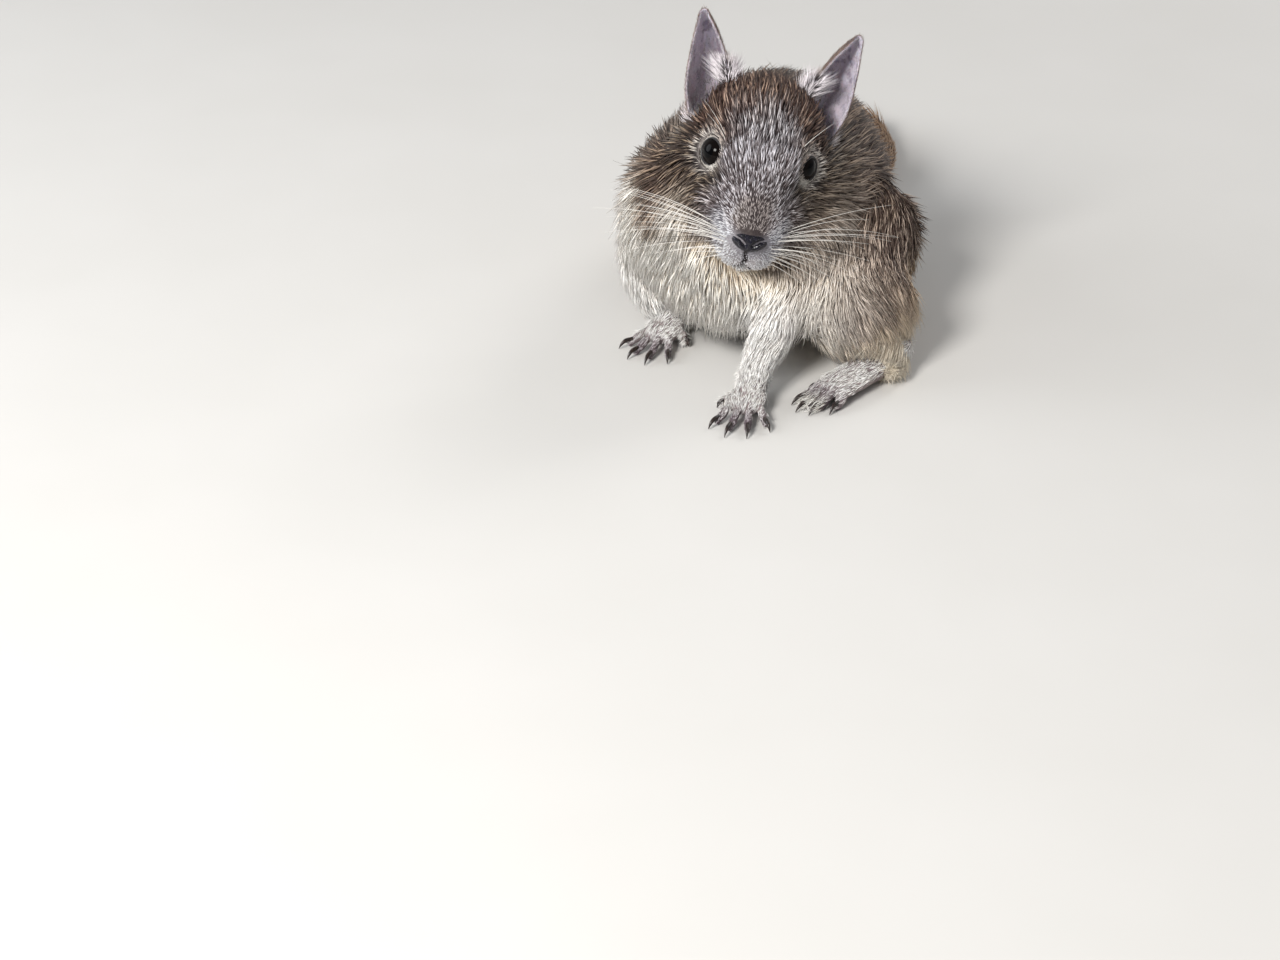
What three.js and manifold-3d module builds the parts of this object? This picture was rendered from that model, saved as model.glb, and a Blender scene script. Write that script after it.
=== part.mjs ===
// A degu, life size, as a still museum model. It crouches on all four feet with its left forefoot
// set forward, its head turned to its own left and its tail laid on the floor behind it.
// Millimetres, +Z up. It faces -Y, its own left side is +X, and the surface is that of the coat.

import * as THREE from "three";
import { mergeVertices } from "three/addons/utils/BufferGeometryUtils.js";
import Module from "manifold-3d";

const wasm = await Module();
wasm.setup();

// Driving dimensions
const gap = 0.32; // left between pieces that touch
const coarseness = 0.35; // most that a coarse blank lies inside the piece it stands for
const eyeRadius = 4.2;
const earThickness = 0.9;
const tailLength = 112;
const toRadians = Math.PI / 180;

// The head's own frame starts midway between the eyes and faces -Y.
const headPlace = { at: [11.1, 25.1, 56.3], turn: 23.5, nod: 15, tilt: 10.5 };

// Rounded masses under the coat: centre, half sizes, and a nod that lowers the front
const headMasses = [
  { at: [0, 12.5, 1], size: [16.5, 15, 12.5] }, // braincase
  { at: [0, 0, 1.2], size: [11.8, 12, 8], nod: 16 }, // forehead
  { at: [0, -9.4, -6.3], size: [8.2, 12.5, 7.8], nod: 23 }, // bridge of the nose
  ...bothSides({ at: [7.8, -3, -12], size: [7.4, 11, 8] }), // sides of the face
  ...bothSides({ at: [4.4, -14.8, -13.2], size: [5.6, 6.4, 6] }), // whisker pads
  { at: [0, -19.4, -10], size: [4.2, 3.1, 3.3] }, // nose pad
  { at: [0, -9.6, -18.4], size: [7.6, 9, 6.2] }, // lower jaw
  ...bothSides({ at: [12, 10, -10.5], size: [11.2, 13, 11.5] }), // cheeks
  ...bothSides({ at: [10, 1.5, -14.5], size: [9, 12, 8.6] }), // jaw muscles
  ...bothSides({ at: [10, 1.8, 0], size: [2.6, 4.8, 4] }), // rims of the eye sockets
  { at: [0, 9, -16], size: [14, 13, 9] }, // throat
];
const trunkMasses = [
  { at: [-2, 38, 33], size: [31.5, 27, 26] }, // chest
  { at: [2, 30, 20], size: [18, 17, 12.5] }, // breast
  { at: [1, 46, 42], size: [23, 25, 19.5] }, // shoulders
  { at: [-2, 60, 31], size: [33, 32, 30.5] }, // belly and back
  { at: [-9.5, 79, 27], size: [30, 31, 28] }, // loins
  { at: [-11, 95, 23], size: [24, 23, 24.2] }, // rump
];
const neckMass = { at: [4, 42, 46], size: [20, 20, 20], nod: 20 };

// Legs: joints from the body down to the foot, with the coat's half width at each
const forelegs = {
  left: { joints: [[17, 36, 26], [19.5, 21, 17], [20, 8, 9], [20.6, -0.5, 4]], girth: [12, 8.4, 5, 4] },
  right: { joints: [[-23, 43, 26], [-25, 37, 17], [-21.5, 31.5, 10], [-15, 25.8, 4]], girth: [13, 10.5, 7.5, 4.2] },
};
const hindlegs = {
  left: {
    masses: [{ at: [25.5, 59, 20], size: [15, 24, 18.5], nod: 12 }, { at: [35, 37.5, 15.5], size: [14.5, 18.5, 14] }],
    shank: [[35, 46, 14], [41, 39, 9], [45.3, 33.5, 4.4]],
  },
  right: {
    masses: [{ at: [-27, 72, 21], size: [14, 23, 19.5], nod: 12 }, { at: [-27, 60, 15.5], size: [12, 15, 13] }],
    shank: [[-27, 58, 14], [-27, 65, 9], [-26, 71.5, 4.4]],
  },
};
const shankGirth = [11, 7.6, 5.2];

// Feet: where the wrist or heel stands on the floor, and how far the foot turns to the left
const feet = {
  forefoot_left: { at: [20.5, 3, 0], heading: 14, thumbSide: -1 },
  forefoot_right: { at: [-14.4, 28.7, 0], heading: -2, thumbSide: 1 },
  hindfoot_left: { at: [46, 34.5, 0], heading: -20, thumbSide: -1 },
  hindfoot_right: { at: [-26, 74, 0], heading: 6, thumbSide: 1 },
};
const forePalm = { at: [0, -5.5, 3], size: [4.8, 6.4, 3.2] };
const foreDigits = [
  { root: [-4.2, -4.5], splay: -62, reach: 2.6, claw: 1.4 }, // thumb
  { root: [-3.2, -9], splay: -26, reach: 6.8, claw: 3 },
  { root: [-1.1, -10.2], splay: -8, reach: 8, claw: 3.2 },
  { root: [1.2, -10], splay: 9, reach: 7.6, claw: 3.2 },
  { root: [3.4, -8.4], splay: 30, reach: 6, claw: 3 },
];
const hindSole = [[0, 0, 3.7], [0, -9, 3.7], [0, -17, 3.2], [0, -23, 2.3]];
const hindSoleWidth = [3.4, 3.8, 5, 5.2];
const hindDigits = [
  { root: [-4.4, -18], splay: -14, reach: 5, claw: 2.6 }, // big toe
  { root: [-3, -22.5], splay: -7, reach: 7, claw: 3.6 },
  { root: [-0.6, -23.5], splay: -1, reach: 7.8, claw: 3.8 },
  { root: [1.8, -23.2], splay: 5, reach: 7.2, claw: 3.6 },
  { root: [4, -21.2], splay: 13, reach: 5.6, claw: 3.2 },
];

// Ears, in the head's frame: three rails from the root to the tip of the left ear
const earRails = {
  inner: [[8.6, 20, 4], [11.4, 20.4, 13], [14.8, 21.4, 19.8], [18.4, 23.2, 24.4]],
  back: [[13, 25, -3], [16.2, 28.6, 8], [18.2, 27.8, 17.5], [20, 25, 24.6]],
  outer: [[16, 15.5, -9], [20.8, 17, 3.5], [21.6, 19.8, 14], [21.2, 23.4, 23.8]],
};

// The tail's line from root to tip along the floor, and the coat's half width along it
const tailLine = [[-10, 108, 15], [-8, 120, 9], [-4, 138, 5], [-9, 156, 4.6], [-24, 170, 5], [-42, 178, 5.6], [-58, 180, 6.4]];

function bothSides(mass) {
  const [x, y, z] = mass.at;
  return [mass, { ...mass, at: [-x, y, z] }];
}

// Fields: negative inside a mass, positive outside, about a millimetre for each millimetre
function massDistance(point, mass) {
  const [x, y, z] = [point.x - mass.at[0], point.y - mass.at[1], point.z - mass.at[2]];
  const angle = (mass.nod ?? 0) * toRadians;
  const along = y * Math.cos(angle) + z * Math.sin(angle);
  const above = z * Math.cos(angle) - y * Math.sin(angle);
  const [a, b, c] = mass.size;
  const scaled = Math.hypot(x / a, along / b, above / c);
  const slope = Math.hypot(x / (a * a), along / (b * b), above / (c * c));
  return slope === 0 ? -Math.min(a, b, c) : (scaled * (scaled - 1)) / slope;
}

function blended(a, b, reach) {
  const share = Math.max(reach - Math.abs(a - b), 0) / reach;
  return Math.min(a, b) - (share * share * reach) / 4;
}

const fieldOf = (masses, reach) => (point) =>
  masses.map((mass) => massDistance(point, mass)).reduce((a, b) => blended(a, b, reach));

const vector = (values) => new THREE.Vector3(...values);

function shared(geometry) {
  geometry.deleteAttribute("normal");
  geometry.deleteAttribute("uv");
  return mergeVertices(geometry, 1e-4);
}

// A closed surface where a field is zero, found along rays from a centre that sees all of it
function surfaceRound(field, centre, detail, { pull = [0, 0, 0], farthest = 75 } = {}) {
  const geometry = shared(new THREE.IcosahedronGeometry(1, detail));
  const places = geometry.attributes.position;
  const start = vector(centre);
  const point = new THREE.Vector3();
  for (let i = 0; i < places.count; i++) {
    const ray = new THREE.Vector3().fromBufferAttribute(places, i).add(vector(pull)).normalize();
    const valueAt = (radius) => field(point.copy(start).addScaledVector(ray, radius));
    let outside = farthest;
    let value = valueAt(outside);
    while (value > 0.02 && outside > 0.5) {
      outside -= Math.max(0.6 * value, 0.02);
      value = valueAt(outside);
    }
    places.setXYZ(i, ...start.clone().addScaledVector(ray, outside).toArray());
  }
  geometry.computeVertexNormals();
  return geometry;
}

const ellipsoid = (mass, detail) => surfaceRound((point) => massDistance(point, mass), mass.at, detail);

// A closed, tapering body round a curve. The half sizes are across the curve and towards `up`.
function loft(through, halfWidths, { halfHeights = halfWidths, up = [0, 0, 1], steps = 8, sides = 8, round = 1 } = {}) {
  const curve = new THREE.CatmullRomCurve3(through.map(vector), false, "centripetal");
  const corners = [];
  const faces = [];
  const between = (values, t) => {
    const place = t * (values.length - 1);
    const i = Math.min(Math.floor(place), values.length - 2);
    return THREE.MathUtils.lerp(values[i], values[i + 1], place - i);
  };
  for (let i = 0; i <= steps; i++) {
    const t = i / steps;
    const centre = curve.getPoint(t);
    const along = curve.getTangent(t);
    const side = new THREE.Vector3().crossVectors(along, vector(up)).normalize();
    const lift = new THREE.Vector3().crossVectors(side, along);
    const ending = Math.min(1, round ? Math.sqrt(1 - Math.pow(Math.abs(2 * t - 1), 8 / round)) + 0.25 : 1);
    for (let j = 0; j < sides; j++) {
      const angle = (2 * Math.PI * j) / sides;
      corners.push(
        centre.clone()
          .addScaledVector(side, Math.cos(angle) * between(halfWidths, t) * ending)
          .addScaledVector(lift, Math.sin(angle) * between(halfHeights, t) * ending),
      );
    }
  }
  for (let i = 0; i < steps; i++) {
    for (let j = 0; j < sides; j++) {
      const [a, b] = [i * sides + j, i * sides + ((j + 1) % sides)];
      faces.push([a, a + sides, b], [b, a + sides, b + sides]);
    }
  }
  const [first, last] = [corners.push(curve.getPoint(0)) - 1, corners.push(curve.getPoint(1)) - 1];
  for (let j = 0; j < sides; j++) {
    const next = (j + 1) % sides;
    faces.push([first, j, next], [last, steps * sides + next, steps * sides + j]);
  }
  return closedMesh(corners, faces);
}

// Corners and faces as a geometry whose faces point outwards
function closedMesh(corners, faces) {
  const volume = faces.reduce(
    (sum, [a, b, c]) => sum + corners[a].dot(new THREE.Vector3().crossVectors(corners[b], corners[c])),
    0,
  );
  const index = faces.flatMap(([a, b, c]) => (volume > 0 ? [a, b, c] : [a, c, b]));
  const geometry = new THREE.BufferGeometry().setFromPoints(corners);
  geometry.setIndex(index);
  geometry.computeVertexNormals();
  return geometry;
}

// A thin cup through three rails, closed at its rim
function cup(rails, thickness, rows, columns) {
  const curves = [rails.inner, rails.back, rails.outer].map(
    (rail) => new THREE.CatmullRomCurve3(rail.map(vector), false, "centripetal"),
  );
  const middle = (s, t) => {
    const [inner, back, outer] = curves.map((curve) => curve.getPoint(t));
    const weights = [(1 - s) * (1 - 2 * s), 4 * s * (1 - s), s * (2 * s - 1)];
    return inner.multiplyScalar(weights[0]).addScaledVector(back, weights[1]).addScaledVector(outer, weights[2]);
  };
  const nudge = 0.01;
  const normal = (s, t) => {
    const across = middle(s + nudge, t).sub(middle(s - nudge, t));
    const along = middle(s, Math.min(t + nudge, 1)).sub(middle(s, Math.max(t - nudge, 0)));
    return across.cross(along).normalize();
  };
  const corners = [];
  const faces = [];
  const width = columns + 1;
  const layer = width * (rows + 1);
  for (const side of [0.5, -0.5]) {
    for (let i = 0; i <= rows; i++) {
      for (let j = 0; j <= columns; j++) {
        const [s, t] = [j / columns, i / rows];
        corners.push(middle(s, t).addScaledVector(normal(s, t), side * thickness));
      }
    }
  }
  const quad = (a, b, c, d) => faces.push([a, b, c], [a, c, d]);
  for (let i = 0; i < rows; i++) {
    for (let j = 0; j < columns; j++) {
      const a = i * width + j;
      quad(a, a + 1, a + width + 1, a + width);
      quad(a + layer, a + layer + width, a + layer + width + 1, a + layer + 1);
    }
  }
  const rim = [];
  for (let j = 0; j < columns; j++) rim.push(j);
  for (let i = 0; i < rows; i++) rim.push(i * width + columns);
  for (let j = columns; j > 0; j--) rim.push(rows * width + j);
  for (let i = rows; i > 0; i--) rim.push(i * width);
  rim.forEach((a, i) => {
    const b = rim[(i + 1) % rim.length];
    quad(b, a, a + layer, b + layer);
  });
  return closedMesh(corners, faces);
}

// Solids
function solid(geometry) {
  const { position } = geometry.attributes;
  return new wasm.Manifold(
    new wasm.Mesh({
      numProp: 3,
      vertProperties: new Float32Array(position.array),
      triVerts: new Uint32Array(geometry.index.array),
    }),
  );
}

const fused = (geometries) => geometries.map(solid).reduce((a, b) => a.add(b));

function swollen(geometry, by) {
  const copy = geometry.clone();
  const { position, normal } = copy.attributes;
  for (let i = 0; i < position.count; i++) {
    position.setXYZ(
      i,
      position.getX(i) + normal.getX(i) * by,
      position.getY(i) + normal.getY(i) * by,
      position.getZ(i) + normal.getZ(i) * by,
    );
  }
  return copy;
}

function largest(made) {
  return made.decompose().reduce((a, b) => (a.volume() > b.volume() ? a : b));
}

function geometryOf(made) {
  const mesh = made.getMesh();
  const corners = [];
  for (let i = 0; i < mesh.numVert; i++) {
    corners.push(...mesh.vertProperties.subarray(i * mesh.numProp, i * mesh.numProp + 3));
  }
  const geometry = new THREE.BufferGeometry();
  geometry.setAttribute("position", new THREE.Float32BufferAttribute(corners, 3));
  geometry.setIndex(new THREE.BufferAttribute(new Uint32Array(mesh.triVerts), 1));
  geometry.computeVertexNormals();
  return geometry;
}

// Groups that carry the pieces
const degu = new THREE.Group();
const head = new THREE.Group();
head.position.set(...headPlace.at);
head.rotation.set(headPlace.nod * toRadians, headPlace.tilt * toRadians, headPlace.turn * toRadians, "ZXY");
degu.add(head);
const footGroups = Object.fromEntries(
  Object.entries(feet).map(([name, foot]) => {
    const group = new THREE.Group();
    group.position.set(...foot.at);
    group.rotation.z = foot.heading * toRadians;
    degu.add(group);
    return [name, group];
  }),
);
degu.updateMatrixWorld(true);

const placed = (geometry, group) => {
  const copy = geometry.clone().applyMatrix4(group.matrixWorld);
  copy.computeVertexNormals();
  return copy;
};
const mirrored = (points) => points.map(([x, ...rest]) => [-x, ...rest]);

// Eyes, and the head with its lids, nostrils and mouth
const eyeCentre = (side) => [side * 10.4, 1.6, -1.4];
const eyeLook = { out: 54, up: 22 };

function lookOf(side) {
  const [out, up] = [eyeLook.out * toRadians, eyeLook.up * toRadians];
  return new THREE.Vector3(side * Math.sin(out) * Math.cos(up), -Math.cos(out) * Math.cos(up), Math.sin(up));
}

function eyeball(side) {
  const ball = shared(new THREE.SphereGeometry(eyeRadius, 14, 9));
  ball.computeVertexNormals();
  return ball.translate(...eyeCentre(side));
}

function lids(side) {
  const [rimRadius, lidThickness, rimForward] = [3.85, 0.8, 2];
  const ring = shared(new THREE.TorusGeometry(rimRadius, lidThickness, 6, 18));
  const turn = new THREE.Quaternion().setFromUnitVectors(new THREE.Vector3(0, 0, 1), lookOf(side));
  ring.scale(1.02, 0.92, 1).applyQuaternion(turn);
  return ring.translate(...vector(eyeCentre(side)).addScaledVector(lookOf(side), rimForward).toArray());
}

// A shallow dish round each eye brings the head's surface down to where the lids lie.
const dish = { radius: 9, floor: 2.3, blend: 1.5 };

function outsideDish(point, side) {
  const middle = vector(eyeCentre(side)).addScaledVector(lookOf(side), dish.floor + dish.radius);
  return dish.radius - point.distanceTo(middle);
}

const fullHead = fieldOf(headMasses, 4);
const headField = (point) =>
  [1, -1].reduce((value, side) => -blended(-value, -outsideDish(point, side), dish.blend), fullHead(point));
const headSurface = (detail) =>
  surfaceRound(headField, [0, 3, -5], detail, { pull: [0, -0.34, -0.06], farthest: 45 });

function nostril(side) {
  const comma = [[side * 1.2, -22.4, -9.8], [side * 2.3, -21.9, -8.9], [side * 3.4, -20.6, -8.7]];
  return loft(comma, [0.35, 0.75, 0.3], { steps: 5, sides: 6 });
}

// The cleft under the nose and the line of the mouth, cut as grooves
const mouthCorner = (side) => [side * 6.6, -11.6, -18.9];
const mouthLine = [mouthCorner(-1), [-4.4, -16.4, -18.9], [-1.4, -19.4, -19.2], [0, -19.8, -18.7],
  [1.4, -19.4, -19.2], [4.4, -16.4, -18.9], mouthCorner(1)];
const cleft = [[0, -21.4, -12.3], [0, -21, -15.2], [0, -20.2, -18.5]];

const headGrooves = [
  nostril(1),
  nostril(-1),
  loft(mouthLine, [0.5, 0.7, 0.7, 0.7, 0.5], { halfHeights: [0.3, 0.45, 0.5, 0.45, 0.3], steps: 14, sides: 6 }),
  loft(cleft, [0.35, 0.4], { halfHeights: [0.6, 0.7], up: [0, 1, 0], steps: 4, sides: 6 }),
];

// Feet
function digit({ root, splay, reach, claw }, thickness, knuckleHeight) {
  const heading = splay * toRadians;
  const at = (distance, height) => [
    root[0] + Math.sin(heading) * distance,
    root[1] - Math.cos(heading) * distance,
    height,
  ];
  const toe = loft(
    [at(-2.5, knuckleHeight * 0.9), at(reach * 0.3, knuckleHeight), at(reach * 0.7, 1.8), at(reach, 1)],
    [thickness, thickness, thickness * 0.86, thickness * 0.8],
    { steps: 4, sides: 6, round: 0.6 },
  );
  const nail = loft(
    [at(reach - 1.4, 1.9), at(reach + claw * 0.45, 1.8), at(reach + claw, 0.35)],
    [0.62, 0.6, 0.2],
    { steps: 3, sides: 5, round: 0 },
  );
  return [toe, nail];
}

function forefoot(thumbSide) {
  const digits = foreDigits.map((one) => ({
    ...one,
    root: [-thumbSide * one.root[0], one.root[1]],
    splay: -thumbSide * one.splay,
  }));
  return [ellipsoid(forePalm, 2), ...digits.flatMap((one) => digit(one, 1.35, 2.9))];
}

function hindfoot(thumbSide) {
  const digits = hindDigits.map((one) => ({
    ...one,
    root: [-thumbSide * one.root[0], one.root[1]],
    splay: -thumbSide * one.splay,
  }));
  const sole = loft(hindSole, hindSoleWidth, { halfHeights: [4, 4, 3.5, 2.6], steps: 8, sides: 10 });
  return [sole, ...digits.flatMap((one) => digit(one, 1.55, 3.1))];
}

const foreleg = ({ joints, girth }) => [loft(joints, girth, { steps: 9, sides: 12 })];
const middleOf = (masses) => [0, 1, 2].map((i) => masses.reduce((sum, { at }) => sum + at[i], 0) / masses.length);
const hindleg = ({ masses, shank }) =>
  [surfaceRound(fieldOf(masses, 8), middleOf(masses), 4), loft(shank, shankGirth, { steps: 5, sides: 10 })];

// The tail in three lengths, the last a brush of long hair
const tailParts = { tail_base: [0, 0.3], tail_middle: [0.305, 0.62], tail_brush: [0.625, 1] };
const tailWidths = [6.2, 4.9, 4.4, 4.3, 4.7, 5.6, 6.6, 7, 5.6, 2];
const tailCurve = new THREE.CatmullRomCurve3(tailLine.map(vector), false, "centripetal");

function tailPiece([from, to], widthsAlong = tailWidths) {
  const count = 6;
  const shares = Array.from({ length: count }, (_, i) => THREE.MathUtils.lerp(from, to, i / (count - 1)));
  const widths = shares.map((t) => {
    const place = t * (widthsAlong.length - 1);
    const i = Math.min(Math.floor(place), widthsAlong.length - 2);
    return THREE.MathUtils.lerp(widthsAlong[i], widthsAlong[i + 1], place - i);
  });
  return loft(shares.map((t) => tailCurve.getPointAt(t).toArray()), widths, { steps: 6, sides: 8, round: 0 });
}

// Locks of the brush: rings of flat, tapering strands that lean out from a thin core
const brush = { from: 0.625, core: 0.9, coreWidth: 2.9, rings: 6, around: 5, length: 17, flare: 0.27, sink: 1.4 };
const wobble = (seed) => THREE.MathUtils.euclideanModulo(Math.sin(seed * 12.9898) * 43758.5453, 1);

function brushForms() {
  const forms = [tailPiece([brush.from, brush.core], [4.2, 4, brush.coreWidth, brush.coreWidth, 1.8])];
  for (let ring = 0; ring < brush.rings; ring++) {
    const t = THREE.MathUtils.lerp(brush.from + 0.03, brush.core - 0.02, ring / (brush.rings - 1));
    const middle = tailCurve.getPointAt(t);
    const along = tailCurve.getTangentAt(t);
    const side = new THREE.Vector3().crossVectors(along, vector([0, 0, 1])).normalize();
    const lift = new THREE.Vector3().crossVectors(side, along);
    for (let place = 0; place < brush.around; place++) {
      const seed = ring * 7 + place + 1;
      const angle = (2 * Math.PI * (place + (ring % 2) / 2 + 0.3 * wobble(seed))) / brush.around;
      const out = side.clone().multiplyScalar(Math.cos(angle)).addScaledVector(lift, Math.sin(angle));
      const length = brush.length * (0.85 + 0.3 * wobble(seed + 50));
      const at = (share, lean) => {
        const point = middle.clone().addScaledVector(out, brush.coreWidth - brush.sink + length * lean);
        point.addScaledVector(along, length * share);
        return [point.x, point.y, Math.max(point.z, 0.9)];
      };
      forms.push(loft([at(0, 0), at(0.35, brush.flare * 0.55), at(0.7, brush.flare * 0.9), at(1, brush.flare)],
        [1.3, 1.7, 1.3, 0.35], { halfHeights: [0.8, 0.75, 0.6, 0.3], up: out.toArray(), steps: 3, sides: 4, round: 0 }));
    }
  }
  return forms;
}

// Every piece, in the order in which they give way: each is cut clear of those before it
const skinTone = { pelt: 0x8a6f58, pale: 0xc9bba6, ear: 0x8d7f86, foot: 0xa79a98, eye: 0x0b0a0c, brush: 0x1c1817 };
const trunkField = fieldOf(trunkMasses, 9);
const pieces = [
  { name: "eye_left", group: head, forms: [placed(eyeball(1), head)], colour: skinTone.eye, roughness: 0.08 },
  { name: "eye_right", group: head, forms: [placed(eyeball(-1), head)], colour: skinTone.eye, roughness: 0.08 },
  {
    name: "head",
    group: head,
    forms: [headSurface(9), lids(1), lids(-1)].map((form) => placed(form, head)),
    blank: placed(headSurface(7), head),
    grooves: headGrooves.map((form) => placed(form, head)),
    colour: skinTone.pelt,
  },
  ...[1, -1].map((side) => ({
    name: side > 0 ? "ear_left" : "ear_right",
    group: head,
    forms: [placed(cup(earOf(side), earThickness, 10, 8), head)],
    colour: skinTone.ear,
  })),
  ...Object.entries(feet).map(([name, foot]) => ({
    name,
    group: footGroups[name],
    forms: (name.startsWith("fore") ? forefoot : hindfoot)(foot.thumbSide)
      .map((form) => placed(form, footGroups[name])),
    colour: skinTone.foot,
  })),
  ...["left", "right"].map((side) => ({
    name: `foreleg_${side}`, group: degu, forms: foreleg(forelegs[side]), colour: skinTone.pale,
  })),
  ...["left", "right"].map((side) => ({
    name: `hindleg_${side}`, group: degu, forms: hindleg(hindlegs[side]), colour: skinTone.pelt,
  })),
  ...Object.entries(tailParts).map(([name, span]) => ({
    name, group: degu, forms: name === "tail_brush" ? brushForms() : [tailPiece(span)], colour: skinTone.brush,
  })),
  { name: "neck", group: degu, forms: [ellipsoid(neckMass, 4)], colour: skinTone.pelt },
  { name: "torso", group: degu, forms: [surfaceRound(trunkField, [-3, 60, 28], 7)], colour: skinTone.pelt },
];

function earOf(side) {
  const { inner, back, outer } = earRails;
  return side > 0 ? earRails : { inner: mirrored(inner), back: mirrored(back), outer: mirrored(outer) };
}

// Builds each piece, trims it at the floor and hangs it in its group
const depth = 30;
const underFloor = solid(shared(new THREE.BoxGeometry(400, 600, depth).translate(0, 60, -depth / 2)));
const earlier = [];
const whole = new THREE.Box3();
for (const { name, group, forms, blank, grooves = [], colour, roughness = 0.85 } of pieces) {
  let made = fused(forms);
  for (const cutter of [...earlier, ...grooves.map(solid), underFloor]) made = made.subtract(cutter);
  made = largest(made);
  // A coarse blank, swollen a little more, keeps the faces of a fine piece out of its neighbours.
  earlier.push(blank ? solid(swollen(blank, gap + coarseness)) : fused(forms.map((form) => swollen(form, gap))));
  const geometry = geometryOf(made);
  geometry.computeBoundingBox();
  whole.union(geometry.boundingBox);
  geometry.applyMatrix4(group.matrixWorld.clone().invert());
  const mesh = new THREE.Mesh(geometry, new THREE.MeshStandardMaterial({ color: colour, roughness, metalness: 0 }));
  mesh.name = name;
  group.add(mesh);
}

// The part's origin is under the middle of the whole, on the floor.
const centre = whole.getCenter(new THREE.Vector3());
degu.position.set(-centre.x, -centre.y, 0);

export default degu;
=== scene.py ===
import math

import bmesh
import bpy
import numpy as np
from mathutils import Matrix, Vector


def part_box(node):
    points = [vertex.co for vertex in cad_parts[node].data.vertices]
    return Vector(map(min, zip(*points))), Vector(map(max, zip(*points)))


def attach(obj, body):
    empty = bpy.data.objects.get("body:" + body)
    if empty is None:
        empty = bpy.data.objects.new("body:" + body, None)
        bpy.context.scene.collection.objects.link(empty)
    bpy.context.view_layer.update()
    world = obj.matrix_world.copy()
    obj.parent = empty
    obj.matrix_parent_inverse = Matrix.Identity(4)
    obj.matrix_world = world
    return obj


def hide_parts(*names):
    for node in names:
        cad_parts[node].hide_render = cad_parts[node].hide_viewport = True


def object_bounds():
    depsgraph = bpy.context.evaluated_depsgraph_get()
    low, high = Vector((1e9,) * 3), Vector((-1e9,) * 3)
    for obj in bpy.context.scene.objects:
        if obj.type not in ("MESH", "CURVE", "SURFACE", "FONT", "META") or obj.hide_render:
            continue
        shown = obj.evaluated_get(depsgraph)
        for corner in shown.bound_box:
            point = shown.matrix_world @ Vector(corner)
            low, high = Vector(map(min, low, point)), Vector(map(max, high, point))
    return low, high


# A degu, life size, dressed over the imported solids. Sizes are in millimetres until a mesh is made.
# The body's own frame has the animal facing -Y with its left at +X; bodyShift takes it to the model's frame.
# The head's own frame lies the same way before the head is turned, nodded and tilted.
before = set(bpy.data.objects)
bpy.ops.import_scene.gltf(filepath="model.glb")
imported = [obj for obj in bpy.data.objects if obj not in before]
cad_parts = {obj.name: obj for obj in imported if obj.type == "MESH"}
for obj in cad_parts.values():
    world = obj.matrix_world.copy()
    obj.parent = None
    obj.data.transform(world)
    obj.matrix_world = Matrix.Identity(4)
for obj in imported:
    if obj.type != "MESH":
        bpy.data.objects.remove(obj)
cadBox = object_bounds()
mm = 0.001

headPlace = {"at": (11.1, 25.1, 56.3), "turn": 23.5, "nod": 15, "tilt": 10.5}
eye = {"centre": (10.4, 1.6, -1.4), "radius": 4.2, "out": 54, "up": 22, "opening": {1: 43, -1: 50}}
sideWords = {1: "left", -1: "right"}


def turnAbout(angle, axis):
    return Matrix.Rotation(math.radians(angle), 3, axis)


def boxMiddle(node):
    low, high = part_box(node)
    return (np.array(low) + np.array(high)) / 2 / mm


headTurn = np.array(turnAbout(headPlace["turn"], "Z") @ turnAbout(headPlace["nod"], "X")
                    @ turnAbout(headPlace["tilt"], "Y"))
headAt = np.array(headPlace["at"])
bodyShift = boxMiddle("eye_left") - headAt - headTurn @ np.array(eye["centre"])
bodyShift[2] = 0


def fromHead(points):
    return np.asarray(points, float) @ headTurn.T + headAt + bodyShift


def toHead(points):
    return (points - bodyShift - headAt) @ headTurn


# Small tools

def smooth(low, high, value):
    t = np.clip((value - low) / (high - low), 0, 1)
    return t * t * (3 - 2 * t)


def bell(distance, width):
    return np.exp(-(distance / width) ** 2)


def unit(vectors):
    return vectors / np.maximum(np.linalg.norm(vectors, axis=-1, keepdims=True), 1e-9)


def withinSurface(vectors, normals):
    return unit(vectors - normals * np.sum(vectors * normals, 1)[:, None])


def linear(*rgb):
    c = np.array(rgb, float) / 255
    return np.where(c <= 0.04045, c / 12.92, ((c + 0.055) / 1.055) ** 2.4)


def ripple(points, scale, seed=0):
    # Soft pseudo-random values near -1..1 that vary over about `scale` millimetres
    waves = np.random.default_rng(seed)
    total = np.zeros(len(points))
    for _ in range(7):
        way = unit(waves.normal(size=3)) * waves.uniform(1.6, 4.4) / scale
        total += np.sin(points @ way + waves.uniform(0, 6.3))
    return total / 2.6


def along(points, count):
    # Evenly spaced points on a smooth curve through the given ones
    p = np.asarray(points, float)
    p = np.vstack([2 * p[0] - p[1], p, 2 * p[-1] - p[-2]])
    fine = []
    for a, b, c, d in zip(p[:-3], p[1:-2], p[2:-1], p[3:]):
        t = np.linspace(0, 1, 24, endpoint=False)[:, None]
        fine.append(0.5 * (2 * b + (c - a) * t + (2 * a - 5 * b + 4 * c - d) * t**2
                           + (3 * b - a - 3 * c + d) * t**3))
    fine = np.vstack(fine + [p[-2:-1]])
    run = np.concatenate([[0], np.cumsum(np.linalg.norm(np.diff(fine, axis=0), axis=1))])
    at = np.linspace(0, run[-1], count)
    return np.stack([np.interp(at, run, fine[:, i]) for i in range(3)], 1)


def spread(values, count):
    return np.interp(np.linspace(0, 1, count), np.linspace(0, 1, len(values)), values)


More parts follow.
